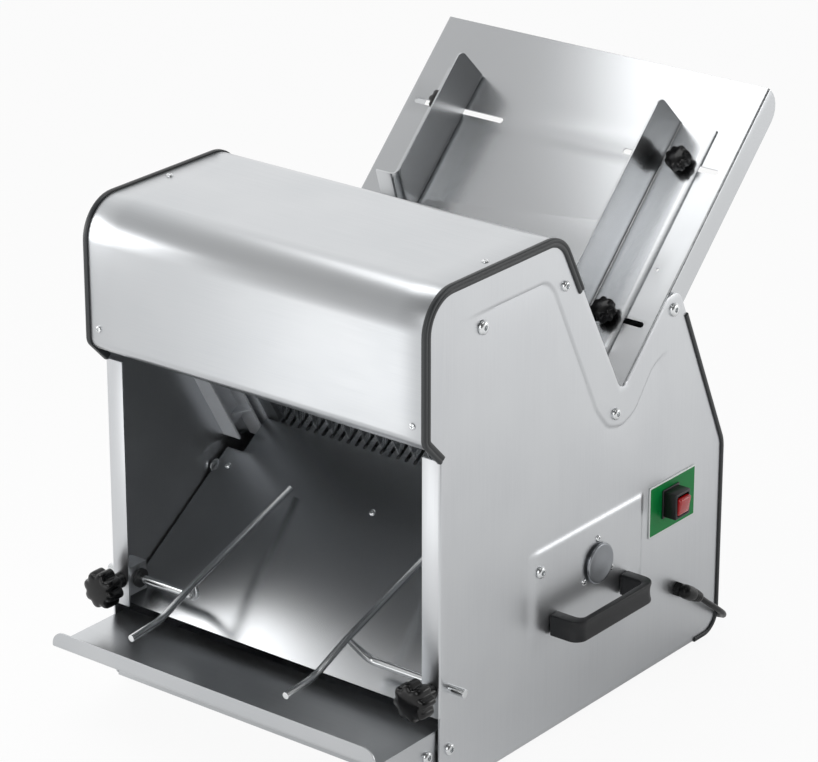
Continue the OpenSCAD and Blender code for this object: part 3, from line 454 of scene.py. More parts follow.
# Spun steel of the bearing caps: a darker grey, turned in fine rings
spunSteel = surface("spunSteel", "#999ca0", "#8d9094", metallic=1.0, rough=(0.3, 0.33), grain=(3, 3, 3),
    bump=0.004)
# Ground blade steel
bladeSteel = surface("groundBladeSteel", "#d2d5d7", "#bfc3c6", metallic=1.0, rough=(0.2, 0.3),
    grain=(1.5, 1.5, 60), bump=0.04)
# Extruded EPDM rubber: dark, soft broad sheen
edgeRubber = surface("extrudedRubber", "#26292b", "#303335", rough=(0.36, 0.48), grain=(1.5, 1.5, 1.5),
    bump=0.06)
# Moulded phenolic: black with a clear hard gloss
knobResin = surface("mouldedPhenolic", "#0c0c0d", "#131314", rough=(0.16, 0.2), grain=(3, 3, 3),
    bump=0.008, sockets={"Specular IOR Level": 0.35})
# Glass-filled nylon: dark grey with a fine spark-eroded texture
handleNylon = surface("texturedNylon", "#1c1d1f", "#26272a", rough=(0.38, 0.5), grain=(0.9, 0.9, 0.9),
    bump=0.1, sockets={"Specular IOR Level": 0.35})
# Screen-printed enamel on a thin aluminium plate
plateEnamel = surface("printedEnamel", "#02863f", "#049045", rough=(0.32, 0.4), grain=(2, 2, 2),
    bump=0.02, sockets={"Specular IOR Level": 0.2})
plateEdge = surface("bareAluminiumPlate", "#d9dddb", "#cdd2d0", metallic=0.7, rough=(0.34, 0.42),
    grain=(30, 1, 1), bump=0.03)
# Polycarbonate lens: clear deep red with a wet gloss
lensRed = surface("polycarbonateLens", "#b80f14", "#d01a1c", rough=(0.1, 0.16), grain=(4, 4, 4),
    bump=0.02, sockets={"Coat Weight": 0.5, "Coat Roughness": 0.05})
switchBlack = surface("mouldedPolyamide", "#121213", "#1a1a1c", rough=(0.3, 0.4), grain=(1.2, 1.2, 1.2),
    bump=0.06)
# PVC lead: black and slightly waxy
cordPvc = surface("leadPvc", "#0a0b0c", "#111213", rough=(0.26, 0.34), grain=(2, 2, 2), bump=0.03,
    sockets={"Specular IOR Level": 0.3})
# Machine enamel on the motor: grey, with a faint orange peel
motorEnamel = surface("machineEnamel", "#59636b", "#626c74", rough=(0.34, 0.46), grain=(2.5, 2.5, 2.5),
    bump=0.1)
# Turned grey iron: dark, with rings round the axle. Belt, bushes and feet are plain mouldings
turnedIron = surface("turnedIron", "#6b6f72", "#777b7e", metallic=1.0, rough=(0.36, 0.48),
    grain=(0.8, 8, 8), bump=0.06)
beltNeoprene = surface("beltNeoprene", "#1f2022", "#2a2b2d", rough=(0.6, 0.72), grain=(1.5, 1.5, 1.5),
    bump=0.12)
bushNylon = surface("turnedNylon", "#2a2b2d", "#333436", rough=(0.4, 0.5), grain=(1, 6, 6), bump=0.04)
footRubber = surface("mouldedRubberFoot", "#1d1e1f", "#28292a", rough=(0.55, 0.68), grain=(1.5, 1.5, 1.5),
    bump=0.1)
pinBrass = surface("nickelledPins", "#cfcbc0", "#c2beb2", metallic=1.0, rough=(0.18, 0.26),
    grain=(1, 1, 8), bump=0.02)
print("materials made")

# Mains cord: the route of the solids again, then the spare length coiled behind the machine
cordShape = Sizes(diameter=7.0, route=[(245, 211, 71.4), (246, 227, 58.4), (246.4, 240, 48.6),
        (245.8, 252, 39.4), (243, 264, 30.4), (237, 275, 22), (228, 284, 16), (216, 291, 11),
        (203, 295, 8), (188, 298, 6), (172, 299, 5), (155, 299, 5), (138, 299, 5), (121, 299, 5),
        (104, 299, 5), (87, 299, 5), (66, 299, 5)], coilRadius=51, coilPitch=7.6, coilTurns=6,
    coilSteps=48, coilLead=7, tail=62)


def smoothRoute(points, parts):
    points = [Vector(p) for p in points]
    padded = [2 * points[0] - points[1]] + points + [2 * points[-1] - points[-2]]
    line = []
    for a, b, c, d in zip(padded, padded[1:], padded[2:], padded[3:]):
        for k in range(parts):
            t = k / parts
            line.append(0.5 * (2 * b + (c - a) * t + (2 * a - 5 * b + 4 * c - d) * t * t
                    + (3 * b - a - 3 * c + d) * t * t * t))
    return line + [points[-1]]


def coilRoute(shape):
    start = Vector(shape.route[-1])
    centre = start + Vector((-shape.coilLead, shape.coilRadius, 0))
    turns, count = shape.coilTurns, shape.coilTurns * shape.coilSteps
    line = []
    for i in range(count + 1):
        turn = i / shape.coilSteps
        radius = shape.coilRadius - shape.coilPitch * min(turn, turns - turn)
        angle = math.radians(-90 - 360 * turn)
        climb = min(1, max(0, (turn - turns / 2) * 2 + 0.5))
        lift = shape.coilPitch * climb * climb * (3 - 2 * climb)
        line.append(centre + Vector((radius * math.cos(angle), radius * math.sin(angle), lift)))
    tail = Vector((-shape.tail / 4, 0, 0))
    return line + [line[-1] + tail * k for k in range(1, 5)]


cordLine = smoothRoute(cordShape.route, 4) + coilRoute(cordShape)
cordRadius = cordShape.diameter / 2 * toMetres
cord = curveAlong("mainsCord", [point * toMetres for point in cordLine], cordRadius, 4)
cord.data.splines[0].use_smooth = True
cord.data.materials.append(cordPvc)
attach(cord, "cabinet")
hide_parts("power_cord", "cord_coil")
coilCentre = Vector(cordShape.route[-1]) + Vector((-cordShape.coilLead, cordShape.coilRadius, 0))

# Plug: a tapered grip with ring ribs, a flat face and two pins
plugShape = Sizes(profile=[(4.6, -1), (4.8, 2), (5.6, 3), (5.2, 4.5), (6.4, 6), (6.0, 7.5), (7.6, 9),
        (7.2, 10.5), (9.2, 12.5), (11.2, 16), (12, 19), (12, 34), (11.4, 35.6), (10.4, 36), (5, 36)],
    sides=40, pinProfile=[(2.4, 35), (2.4, 52.6), (2.1, 54), (1.4, 54.8), (0.6, 55)], pinSides=20,
    pinGap=9.5)
plugBody = turnedPiece(plugShape.profile, plugShape.sides)
plugPin = turnedPiece(plugShape.pinProfile, plugShape.pinSides)
plugPins = [copied(plugPin, Matrix.Translation((0, side * plugShape.pinGap, 0))) for side in (-1, 1)]
bpy.data.objects.remove(plugPin)
for piece, mark in [(plugBody, 0)] + [(pin, 1) for pin in plugPins]:
    for material in (cordPvc, pinBrass):
        piece.data.materials.append(material)
    piece.data.polygons.foreach_set("material_index", [mark] * len(piece.data.polygons))
plug = placed(joined([plugBody] + plugPins), Matrix.Translation(cordLine[-1]) @ turn(-90, "Y"))
finished(plug, "mainsPlug", [cordPvc, pinBrass], "mains_plug")

# Tie round one side of the coil
tieShape = Sizes(width=10, low=0.6, high=17.6, inner=23.4, outer=55.4, ends=(9, 9.4), radius=3,
    thickness=0.9, edge=0.2)
tieCorners = [(tieShape.inner, tieShape.ends[0]), (tieShape.inner, tieShape.low),
    (tieShape.outer, tieShape.low), (tieShape.outer, tieShape.high), (tieShape.inner, tieShape.high),
    (tieShape.inner, tieShape.ends[1])]
tie = foldedSheet([(coilCentre.x + p.x, coilCentre.y - tieShape.width / 2, p.y)
        for p in roundedLine(tieCorners, [tieShape.radius] * 4, 5)], [(0, tieShape.width, 0)])
sheetThickness(tie, tieShape.thickness, tieShape.edge)
finished(tie, "coilTie", cordPvc, "cord_tie")

# Side panels: one pressed sheet with a raised field, a soft contour groove and a folded front flange
panelShape = Sizes(corners=[(-256, 8), (267, 8), (267, 245), (166, 468), (65, 367), (-49, 583),
        (-282, 583), (-282, 422), (-256, 395), (-253, 395), (-253, 100), (-256, 100)],
    radii=[8, 25, 40, 18, 12, 40, 45, 14, 0.8, 0.5, 0.5, 0.8], outerX=232, thickness=2, spacing=6,
    padLow=(-105, 114), padHigh=(112, 236), padRise=2, padSlopes=Sizes(top=7, rear=8, low=34, front=20),
    contour=[(-225, 537), (-75, 537), (-62, 522), (18, 360), (40, 334), (66, 327), (92, 336), (124, 377),
        (140, 386), (156, 388)], contourRadii=[22, 20, 40, 26, 26, 40, 30, 20], contourSteps=6,
    contourEnds=(0.14, 0.06), grooveDepth=1.8, grooveEdge=3.6, grooveFade=28, fineSpacing=1.8,
    fineReach=7, fineMargin=3, outlineSteps=10, edge=0.4, flangeLine=[(208, -255), (231, -255),
        (231, -253)], flangeRadius=1.98, flangeLow=100, flangeHeight=295, flangeEdge=0.3)
farAway = 1e9
tiny = 1e-9


def smoothStep(value):
    value = np.clip(value, 0, 1)
    return value * value * (3 - 2 * value)


def insideOutline(spots, outline):
    inside = np.zeros(len(spots), bool)
    nearest = np.full(len(spots), farAway)
    for a, b in zip(outline, outline[1:] + outline[:1]):
        crosses = (a.y > spots[:, 1]) != (b.y > spots[:, 1])
        rise = b.y - a.y if abs(b.y - a.y) > tiny else tiny
        inside ^= crosses & (spots[:, 0] < (b.x - a.x) * (spots[:, 1] - a.y) / rise + a.x)
        along = np.array(b - a)
        share = np.clip(((spots - np.array(a)) @ along) / max(along @ along, tiny), 0, 1)
        nearest = np.minimum(nearest, np.linalg.norm(spots - np.array(a) - share[:, None] * along,
                axis=1))
    return inside, nearest


def contourDistance(spots, shape):  # distance to the groove line, its side, and the place along it
    line = roundedLine(shape.contour, shape.contourRadii, shape.contourSteps)
    best = np.full(len(spots), farAway)
    side = np.zeros(len(spots))
    place = np.zeros(len(spots))
    run = 0.0
    for a, b in zip(line, line[1:]):
        along = np.array(b - a)
        size = max(np.linalg.norm(along), tiny)
        away = spots - np.array(a)
        share = np.clip((away @ along) / (size * size), 0, 1)
        gap = np.linalg.norm(away - share[:, None] * along, axis=1)
        closer = gap < best
        best[closer] = gap[closer]
        side[closer] = np.sign(along[0] * away[closer, 1] - along[1] * away[closer, 0])
        place[closer] = run + share[closer] * size
        run += size
    return best, side, place / run


def panelRelief(spots, shape):
    (front, low), (rear, top) = shape.padLow, shape.padHigh
    slopes = shape.padSlopes
    y, z = spots[:, 0], spots[:, 1]
    upright = np.minimum((top - z) / slopes.top, (z - low) / slopes.low)
    lengthwise = np.minimum((rear - y) / slopes.rear, (y - front) / slopes.front)
    short = np.hypot(np.maximum(1 - upright, 0), np.maximum(1 - lengthwise, 0))
    height = shape.padRise * smoothStep(1 - short)
    gap, side, place = contourDistance(spots, shape)
    inner = np.where(side < 0, gap, -gap)
    fadeIn, fadeOut = shape.contourEnds
    fade = smoothStep(place / fadeIn) * smoothStep((1 - place) / fadeOut)
    dip = smoothStep((inner + shape.grooveEdge) / shape.grooveEdge)
    dip *= np.exp(-np.maximum(inner, 0) / shape.grooveFade)
    return height - shape.grooveDepth * dip * fade


def spotRows(outline, gap):  # staggered rows of spots over the outline, clear of its edge
    ys = np.arange(min(p.x for p in outline), max(p.x for p in outline), gap)
    zs = np.arange(min(p.y for p in outline), max(p.y for p in outline), gap)
    spots = np.array([(y + (gap / 2 if row % 2 else 0), z) for row, z in enumerate(zs) for y in ys])
    inside, nearest = insideOutline(spots, outline)
    return spots[inside & (nearest > gap * 0.5)]


def nearRelief(spots, shape):  # the spots beside the groove and beside the raised field's sharp edges
    (front, low), (rear, top) = shape.padLow, shape.padHigh
    reach, margin, slopes = shape.fineReach, shape.fineMargin, shape.padSlopes
    y, z = spots[:, 0], spots[:, 1]
    gap = contourDistance(spots, shape)[0]
    along = (y > front - reach) & (y < rear + reach)
    upper = along & (z < top + margin) & (z > top - slopes.top - margin)
    rearward = (y < rear + margin) & (y > rear - slopes.rear - margin) & (z > low) & (z < top)
    return (gap < reach) | upper | rearward


def pressedPanel(shape):
    outline = roundedOutline(shape.corners, shape.radii, shape.outlineSteps)
    coarse = spotRows(outline, shape.spacing)
    fine = spotRows(outline, shape.fineSpacing)
    coarse = coarse[~nearRelief(coarse, shape)]
    fine = fine[nearRelief(fine, shape)]
    count = len(outline)
    flat = outline + [Vector(s) for s in np.concatenate([coarse, fine])]
    rim = [(i, (i + 1) % count) for i in range(count)]
    filled = geometry.delaunay_2d_cdt(flat, rim, [], 1, 1e-4)
    flatSpots = np.array([tuple(v) for v in filled[0]])
    lift = panelRelief(flatSpots, shape)
    mesh = bpy.data.meshes.new("panel")
    mesh.from_pydata([(shape.outerX + h, y, z) for (y, z), h in zip(flatSpots, lift)], [], filled[2])
    piece = linked(mesh)
    if sum(face.normal.x for face in mesh.polygons) < 0:
        mesh.flip_normals()
    applyModifier(piece, "SOLIDIFY", thickness=shape.thickness, offset=-1)
    softenEdges(piece, shape.edge, 2, 60)
    return piece


rightPanel = pressedPanel(panelShape)
flangeLine = roundedLine(panelShape.flangeLine, [panelShape.flangeRadius], 6)
flange = foldedSheet([(p.x, p.y, panelShape.flangeLow) for p in flangeLine],
    [(0, 0, panelShape.flangeHeight)])
sheetThickness(flange, panelShape.thickness, panelShape.flangeEdge)
finishedPair(joined([rightPanel, flange]), "Panel", satinUpright, "side_panel", 30)
print("panels pressed")

# Rubber edging: a channel with a bead, round the head, and a flat strip down the rear edge
trimShape = Sizes(headLine=[(-256, 395), (-282, 422), (-282, 583), (-49, 583), (-11.66, 512.25)],
    headRadii=[14, 45, 40], headSection=[(-8, 232), (-8, 233.2), (-7.2, 234), (-3.6, 234), (-3.0, 233.4),
        (-2.4, 233.4), (-1.8, 234), (0.6, 234), (1.6, 233.4), (2, 232.4), (2, 229.4), (1.4, 228.2),
        (0.4, 228), (-6, 228), (-6, 229.9), (-0.1, 229.9), (-0.1, 232)],
    rearLine=[(186.2, 423.4), (267, 245), (267, 8), (222, 8)], rearRadii=[40, 25],
    rearSection=[(-4, 232), (-4, 233.2), (-3.2, 234), (0.6, 234), (1.6, 233.4), (2, 232.4), (2, 230.4),
        (1.4, 230), (0.1, 230), (0.1, 232)])
headTrim = sweptSection(roundedLine(trimShape.headLine, trimShape.headRadii, 12), trimShape.headSection)
rearTrim = sweptSection(roundedLine(trimShape.rearLine, trimShape.rearRadii, 12), trimShape.rearSection)
finishedPair(joined([headTrim, rearTrim]), "Edging", edgeRubber, "edge_trim", 50)

# Head cover: one sheet rolled over the head
coverShape = Sizes(line=[(-273.68, 413.36), (-282, 422), (-282, 583), (-49, 583), (-11.66, 512.25)],
    radii=[14, 45, 40], halfWidth=228, thickness=1.5, edge=0.3, pulls=12)
coverLine = roundedLine(besideLine(coverShape.line, -coverShape.thickness / 2),
    [r - coverShape.thickness / 2 for r in coverShape.radii], 14)
cover = foldedSheet([(-coverShape.halfWidth, p.x, p.y) for p in coverLine],
    [(2 * coverShape.halfWidth / coverShape.pulls, 0, 0)] * coverShape.pulls)
sheetThickness(cover, coverShape.thickness, coverShape.edge)
finished(cover, "headCover", satinAcross, "head_cover", 30)
print("head done")

# Feed chute: folded sides with rounded corners, slots and holes. Along it is u, square to it is w
chuteShape = Sizes(angle=45, origin=(0, 160, 453.6), halfWidth=225, sheetW=-1, thickness=2, edge=0.2,
    foldRows=(-33, -31.5, -28, -23, -17, -10), low=-220, high=266, bend=1.6, cornerRadius=25, rows=8,
    slotU=(152, -44), slotX=(85, 214), slotWidth=7, slotRadius=3.4, holeX=198, holeU=23.6, holeRadius=2,
    cutDepth=12)
onChute = Matrix.Translation(chuteShape.origin) @ turn(chuteShape.angle, "X")
chuteHalf, chuteW, foldRows = chuteShape.halfWidth, chuteShape.sheetW, chuteShape.foldRows
chuteBends = roundedLine([(-chuteHalf, foldRows[0]), (-chuteHalf, chuteW), (chuteHalf, chuteW),
        (chuteHalf, foldRows[0])], [chuteShape.bend] * 2, 6)[1:-1]
chuteSection = ([Vector((-chuteHalf, w)) for w in foldRows] + chuteBends
    + [Vector((chuteHalf, w)) for w in reversed(foldRows)])
chuteSteps = steps(chuteShape.low, chuteShape.high, chuteShape.cornerRadius, chuteShape.rows)
chute = foldedSheet([(p.x, chuteShape.low, p.y) for p in chuteSection], pullsAlong((0, 1, 0), chuteSteps))
chuteMiddle = (chuteShape.low + chuteShape.high) / 2
chuteReach = chuteShape.high - chuteMiddle
for vertex in chute.data.vertices:
    cut = roundCut(chuteShape.cornerRadius, vertex.co.z - foldRows[0])
    vertex.co.y = chuteMiddle + (vertex.co.y - chuteMiddle) * (chuteReach - cut) / chuteReach
sheetThickness(chute, chuteShape.thickness, chuteShape.edge)
for u in chuteShape.slotU:
    for side in (-1, 1):
        slotSize = (chuteShape.slotX[1] - chuteShape.slotX[0], chuteShape.slotWidth, chuteShape.cutDepth)
        cutter = plainBlock((side * sum(chuteShape.slotX) / 2, u, chuteW), slotSize)
        mesh = cutter.data
        pick(cutter, "EDGE", lambda edge: abs(mesh.vertices[edge.vertices[0]].co.z
                - mesh.vertices[edge.vertices[1]].co.z) > 1)
        bpy.ops.mesh.bevel(offset=chuteShape.slotRadius, segments=6)
        objectMode()
        cutAway(chute, cutter)
for side in (-1, 1):
    cutter = started(bpy.ops.mesh.primitive_cylinder_add, vertices=24, radius=chuteShape.holeRadius,
        depth=chuteShape.cutDepth, location=(side * chuteShape.holeX, chuteShape.holeU, chuteW))
    bpy.ops.object.transform_apply(location=True)
    cutAway(chute, cutter)
placed(chute, onChute)
finished(chute, "feedChute", brightFeed, "feed_chute", 30)

# Bread guides: a bent angle with a flat foot, a rounded end and a flap. The left wall is shorter
guideShape = Sizes(wallX=140, footX=189, footW=1.3, top=61, low=-90, high=201, bend=3, endRadius=11,
    endRows=18, rows=8, thickness=2, edge=0.2, leftWallLow=-1, lean=31,
    wallDrops=(0, 0.5, 1.6, 3.4, 6, 9, 12), wallRows=(40, 30, 20, 10), footReaches=(10, 20, 30, 40),
    restReaches=(-1, 16, 32), restRows=4, flapReach=29.6, flapRadius=9, flapLow=2.4, flapInset=1,
    flapLap=12, flapRows=8, flapThickness=1.9)


def breadGuide(shape, wallLow):
    top, low, high = shape.top, shape.low, shape.high
    wallX, footW, rows = shape.wallX, shape.footW, shape.flapRows
    bend = roundedLine([(wallX, shape.wallRows[-1]), (wallX, footW),
            (wallX + shape.footReaches[0], footW)], [shape.bend], 6)[1:-1]
    section = ([Vector((wallX, top - drop)) for drop in shape.wallDrops]
        + [Vector((wallX, w)) for w in shape.wallRows] + bend
        + [Vector((wallX + reach, footW)) for reach in shape.footReaches]
        + [Vector((shape.footX, footW))])
    angle = foldedSheet([(p.x, wallLow, p.y) for p in section],
        pullsAlong((0, 1, 0), steps(wallLow, high, shape.endRows, shape.rows)))
    for vertex in angle.data.vertices:
        share = (vertex.co.y - wallLow) / (high - wallLow)
        rise = (vertex.co.z - footW) / (top - footW)
        if rise > 0.1:
            vertex.co.y += (shape.lean * rise + shape.flapRadius) * (1 - share)
        vertex.co.y -= roundCut(shape.endRadius, top - vertex.co.z) * share
    sheetThickness(angle, shape.thickness, shape.edge)
    flapY = wallLow + shape.flapInset
    flapCorners = [(wallX, wallLow + shape.flapLap), (wallX, flapY), (wallX + shape.flapReach, flapY)]
    flapLine = roundedLine(flapCorners, [shape.flapRadius], 8)
    flapStart = shape.lean * (shape.flapLow - footW) / (top - footW)
    flapPull = (0, (shape.lean - flapStart) / rows, (top - shape.flapLow) / rows)
    flap = foldedSheet([(p.x, p.y + flapStart, shape.flapLow) for p in flapLine], [flapPull] * rows)
    sheetThickness(flap, shape.flapThickness, shape.edge)
    pieces = [angle, flap]
    if wallLow > low:
        restX = [wallX + reach for reach in shape.restReaches] + [shape.footX]
        restPull = (0, (wallLow - low) / shape.restRows, 0)
        rest = foldedSheet([(x, low, footW) for x in restX], [restPull] * shape.restRows)
        pieces.append(sheetThickness(rest, shape.thickness, shape.edge))
    return placed(joined(pieces), onChute)


for side, wallLow in (("right", guideShape.low), ("left", guideShape.leftWallLow)):
    guide = breadGuide(guideShape, wallLow)
    if side == "left":
        placed(guide, Matrix.Scale(-1, 4, (1, 0, 0)))
        faceOutwards(guide)
    finished(guide, side + "BreadGuide", brightGuide, side + "_bread_guide", 30,
        side + "_guide")
print("chute and guides done")

# Front tray: floor, upstanding lip with round corners and two side skirts
trayShape = Sizes(halfWidth=228, floorZ=85.6, frontY=-359, backY=-240, bend=3, thickness=2, edge=0.4,
    lipRows=(91, 94, 97, 100, 102.5, 104.2, 105), lipRadius=16, endRows=18, rows=8,
    skirt=[(-357, 84.8), (-280, 46.6), (-226, 46.6), (-226, 84.8)])
lipTop, trayHalf = trayShape.lipRows[-1], trayShape.halfWidth
trayLine = roundedLine([(trayShape.backY, trayShape.floorZ), (trayShape.frontY, trayShape.floorZ),
        (trayShape.frontY, lipTop)], [trayShape.bend], 8)[:-1]
trayLine += [Vector((trayShape.frontY, z)) for z in trayShape.lipRows]
tray = foldedSheet([(-trayHalf, p.x, p.y) for p in trayLine],
    pullsAlong((1, 0, 0), steps(-trayHalf, trayHalf, trayShape.endRows, trayShape.rows)))
for vertex in tray.data.vertices:
    if vertex.co.y < trayShape.frontY + trayShape.thickness:
        vertex.co.x *= (trayHalf - roundCut(trayShape.lipRadius, lipTop - vertex.co.z)) / trayHalf
sheetThickness(tray, trayShape.thickness, trayShape.edge)
skirts = []
for side in (-1, 1):
    skirtX = side * (trayHalf - trayShape.thickness)
    skirt = flatOutline([(skirtX, y, z) for y, z in trayShape.skirt])
    thickened(skirt, (side * trayShape.thickness, 0, 0))
    softenEdges(skirt, trayShape.edge)
    skirts.append(skirt)
finished(joined([tray] + skirts), "frontTray", satinAcross, "front_tray", 30)
print("tray done")

# Star knobs: eight soft lobes, a shallow crown and a turned boss
lobeShape = Sizes(count=8, depth=0.19, sharpness=1.6, start=0.6, growth=0.7, sides=96)
guideKnobShape = Sizes(size=30, height=14, boss=5, bossRadius=7, studRadius=3, studLength=8, x=167, w=2.6,
    turn=0.3, rowTurns=(1.20355, -0.0177))
clampKnobShape = Sizes(size=45, height=22, boss=16.7, bossRadius=9, studRadius=4, studLength=9.6,
    place=(220, -256.3, 130), turn=0.2)


def starKnob(shape):
    rim, boss, height = shape.size / 2, shape.boss, shape.height
    stud, neck = shape.studRadius, shape.bossRadius
    profile = [(stud, 0.4 - shape.studLength), (stud, 0.2), (neck, 0.2), (neck, boss), (rim * 0.72, boss),
        (rim * 0.9, boss + 0.6), (rim * 0.985, boss + 2.2), (rim, boss + 4), (rim, boss + height * 0.62),
        (rim * 0.985, boss + height * 0.8), (rim * 0.93, boss + height * 0.93),
        (rim * 0.84, boss + height), (rim * 0.62, boss + height + 0.9), (rim * 0.5, boss + height + 1.4),
        (rim * 0.2, boss + height + 1.9), (rim * 0.06, boss + height + 2)]
    piece = turnedPiece(profile, lobeShape.sides)
    start = lobeShape.start
    for vertex in piece.data.vertices:
        reach = (math.hypot(vertex.co.x, vertex.co.y) / rim - start) / (1 - start)
        if vertex.co.z > boss - 0.1 and reach > 0:
            angle = math.atan2(vertex.co.y, vertex.co.x)
            valley = (0.5 - 0.5 * math.cos(lobeShape.count * angle)) ** lobeShape.sharpness
            drawIn(vertex, 1 - lobeShape.depth * valley * min(1, reach) ** lobeShape.growth)
    return piece


guideKnob = starKnob(guideKnobShape)
for level, u, rowTurn in zip(("upper", "lower"), chuteShape.slotU, guideKnobShape.rowTurns):
    for side, sign in (("right", 1), ("left", -1)):
        place = (onChute @ Matrix.Translation((sign * guideKnobShape.x, u, guideKnobShape.w))
            @ Matrix.Rotation(sign * guideKnobShape.turn + rowTurn, 4, "Z"))
        knob = copied(guideKnob, place)
        node = level + "_" + side + "_knob"
        finished(knob, level + side.title() + "StarKnob", knobResin, node, 45, node)
bpy.data.objects.remove(guideKnob)
clampKnob = starKnob(clampKnobShape)
clampX, clampY, clampZ = clampKnobShape.place
for side, sign in (("right", 1), ("left", -1)):
    place = (Matrix.Translation((sign * clampX, clampY, clampZ)) @ turn(90, "X")
        @ Matrix.Rotation(sign * clampKnobShape.turn, 4, "Z"))
    knob = copied(clampKnob, place)
    finished(knob, side + "ClampKnob", knobResin, side + "_rod_knob", 45, side + "_clamp")
bpy.data.objects.remove(clampKnob)
print("knobs done")

# Catch rods: one bent bar welded to the clamped cross bar, which thins towards the weld
rodShape = Sizes(x=109, radius=4, side=[(-92, 215.6), (-258, 158.6), (-313, 135.6), (-360.8, 131.6)],
    sideRadii=(60, 60), end=0.8, armRadius=4.95, armAt=(-238, 130), armX=(252, 190, 140),
    bendX=(131, 120), bendSteps=16, thinning=0.32, armEnd=0.5)


def roundBar(line, radius, endRound, shares):
    bar = curveAlong("bar", line, radius, 6)
    for spot, share in zip(bar.data.splines[0].points, shares):
        spot.radius = share
    onlyThis(bar)
    bpy.ops.object.convert(target="MESH")
    bar = bpy.context.object
    faceOutwards(bar)
    softenEdges(bar, endRound, 3, 60)
    return bar


mainLine = [Vector((rodShape.x, p.x, p.y)) for p in roundedLine(rodShape.side, rodShape.sideRadii, 10)]
mainBar = roundBar(mainLine, rodShape.radius, rodShape.end, [1] * len(mainLine))
bendStart, bendElbow = [Vector((x, *rodShape.armAt)) for x in rodShape.bendX]
bendEnd = Vector((rodShape.x, *rodShape.side[1]))
armLine = [Vector((x, *rodShape.armAt)) for x in rodShape.armX]
armShares = [1] * len(armLine)
for k in range(rodShape.bendSteps + 1):
    t = k / rodShape.bendSteps
    armLine.append(bendStart * (1 - t) ** 2 + bendElbow * 2 * t * (1 - t) + bendEnd * t * t)
    armShares.append(1 - rodShape.thinning * t * t)
arm = roundBar(armLine, rodShape.armRadius, rodShape.armEnd, armShares)
finishedPair(joined([mainBar, arm]), "CatchRod", polishedBar, "catch_rod", 50, "rod")

# Carrying handles: a moulded bow with two feet and a hollow along the outer face of its grip
handleShape = Sizes(baseX=234, y=-65, length=146, reach=40, arm=15, grip=8, radius=15, low=125.5,
    height=25, hollow=1.5, hollowShare=0.78, edge=1.8, levelShares=(0, 0.12, 0.22, 0.32, 0.42, 0.5, 0.58,
        0.68, 0.78, 0.88, 1))
bowEnd, bowInner = handleShape.length, handleShape.reach - handleShape.grip
bowOuterLine = roundedLine([(0, 0), (handleShape.reach, 0), (handleShape.reach, bowEnd), (0, bowEnd)],
    [handleShape.radius] * 2, 10)
bowInnerLine = roundedLine([(0, handleShape.arm), (bowInner, handleShape.arm),
        (bowInner, bowEnd - handleShape.arm), (0, bowEnd - handleShape.arm)],
    [handleShape.radius / 2] * 2, 10)
handle = flatOutline([(p.x, p.y, 0) for p in bowOuterLine + bowInnerLine[::-1]])
editAll(handle)
bpy.context.tool_settings.mesh_select_mode = (False, False, True)
for low, high in zip(handleShape.levelShares, handleShape.levelShares[1:]):
    rise = (high - low) * handleShape.height
    bpy.ops.mesh.extrude_region_move(TRANSFORM_OT_translate={"value": (0, 0, rise)})
objectMode()
faceOutwards(handle)
for vertex in handle.data.vertices:
    share = 2 * vertex.co.z / handleShape.height - 1
    inward = handleShape.hollow * max(0, 1 - (share / handleShape.hollowShare) ** 2)
    centreX = handleShape.reach - handleShape.radius
    centreY = min(max(vertex.co.y, handleShape.radius), bowEnd - handleShape.radius)
    away = Vector((vertex.co.x - centreX, vertex.co.y - centreY))
    if vertex.co.x > centreX and away.length > handleShape.radius - 0.1:
        vertex.co.x -= away.x / away.length * inward
        vertex.co.y -= away.y / away.length * inward
softenEdges(handle, handleShape.edge, 4, 60)
placed(handle, Matrix.Translation((handleShape.baseX, handleShape.y, handleShape.low)))
finishedPair(handle, "Handle", handleNylon, "handle", 40)
print("rods and handles done")


# Screws and bolts: button heads with hex sockets, small pan heads with a cross recess
def buttonHead(radius, height, socket):
    piece = turnedPiece([(radius, 0), (radius, height * 0.3), (radius * 0.93, height * 0.62),
            (radius * 0.76, height * 0.88), (radius * 0.6, height), (socket * 1.02, height),
            (socket, height * 0.97), (socket, height * 0.4), (socket * 0.3, height * 0.34)], 24)
    for vertex in piece.data.vertices:
        if math.hypot(vertex.co.x, vertex.co.y) < socket * 1.1:
            drawIn(vertex, hexReach(vertex) * 1.08)
    return piece


def panHead(radius, height):
    piece = turnedPiece([(radius, 0), (radius, height * 0.35), (radius * 0.9, height * 0.72),
            (radius * 0.7, height * 0.95), (radius * 0.52, height), (radius * 0.5, height * 0.95),
            (radius * 0.4, height * 0.35), (radius * 0.1, height * 0.25)], 32)
    for vertex in piece.data.vertices:
        if math.hypot(vertex.co.x, vertex.co.y) < radius * 0.51:
            angle = math.atan2(vertex.co.y, vertex.co.x)
            drawIn(vertex, 0.42 + 0.58 * abs(math.cos(2 * angle)) ** 3)
    return piece


def facingSide(side, x, y, z):  # stands a turned piece on a panel's outer face
    return Matrix.Translation((side * x, y, z)) @ turn(90 * side, "Y")


# A bolt's row gives x, y, z and radius, a collar's x, y, z and how far it stands out
boltShape = Sizes(height=4, socket=2.9, turn=0.7, panel=[(232, -186, 522, 8), (232, -44, 525, 6),
        (232, 54, 347, 7), (234, -83, 208, 7), (232, -239.5, 59, 7), (232, 161, 436, 8)],
    collars=[(228, -83, 208, 2), (228, -239.5, 59, 2), (226, 161, 436, 4), (226, 54, 347, 4)],
    collarRadii=(7.4, 8), collarEdge=0.4, tray=(228, -273, 61.6, 7))


def boltOn(side, x, y, z, radius):
    return buttonHead(radius, boltShape.height, boltShape.socket), facingSide(side, x, y, z)


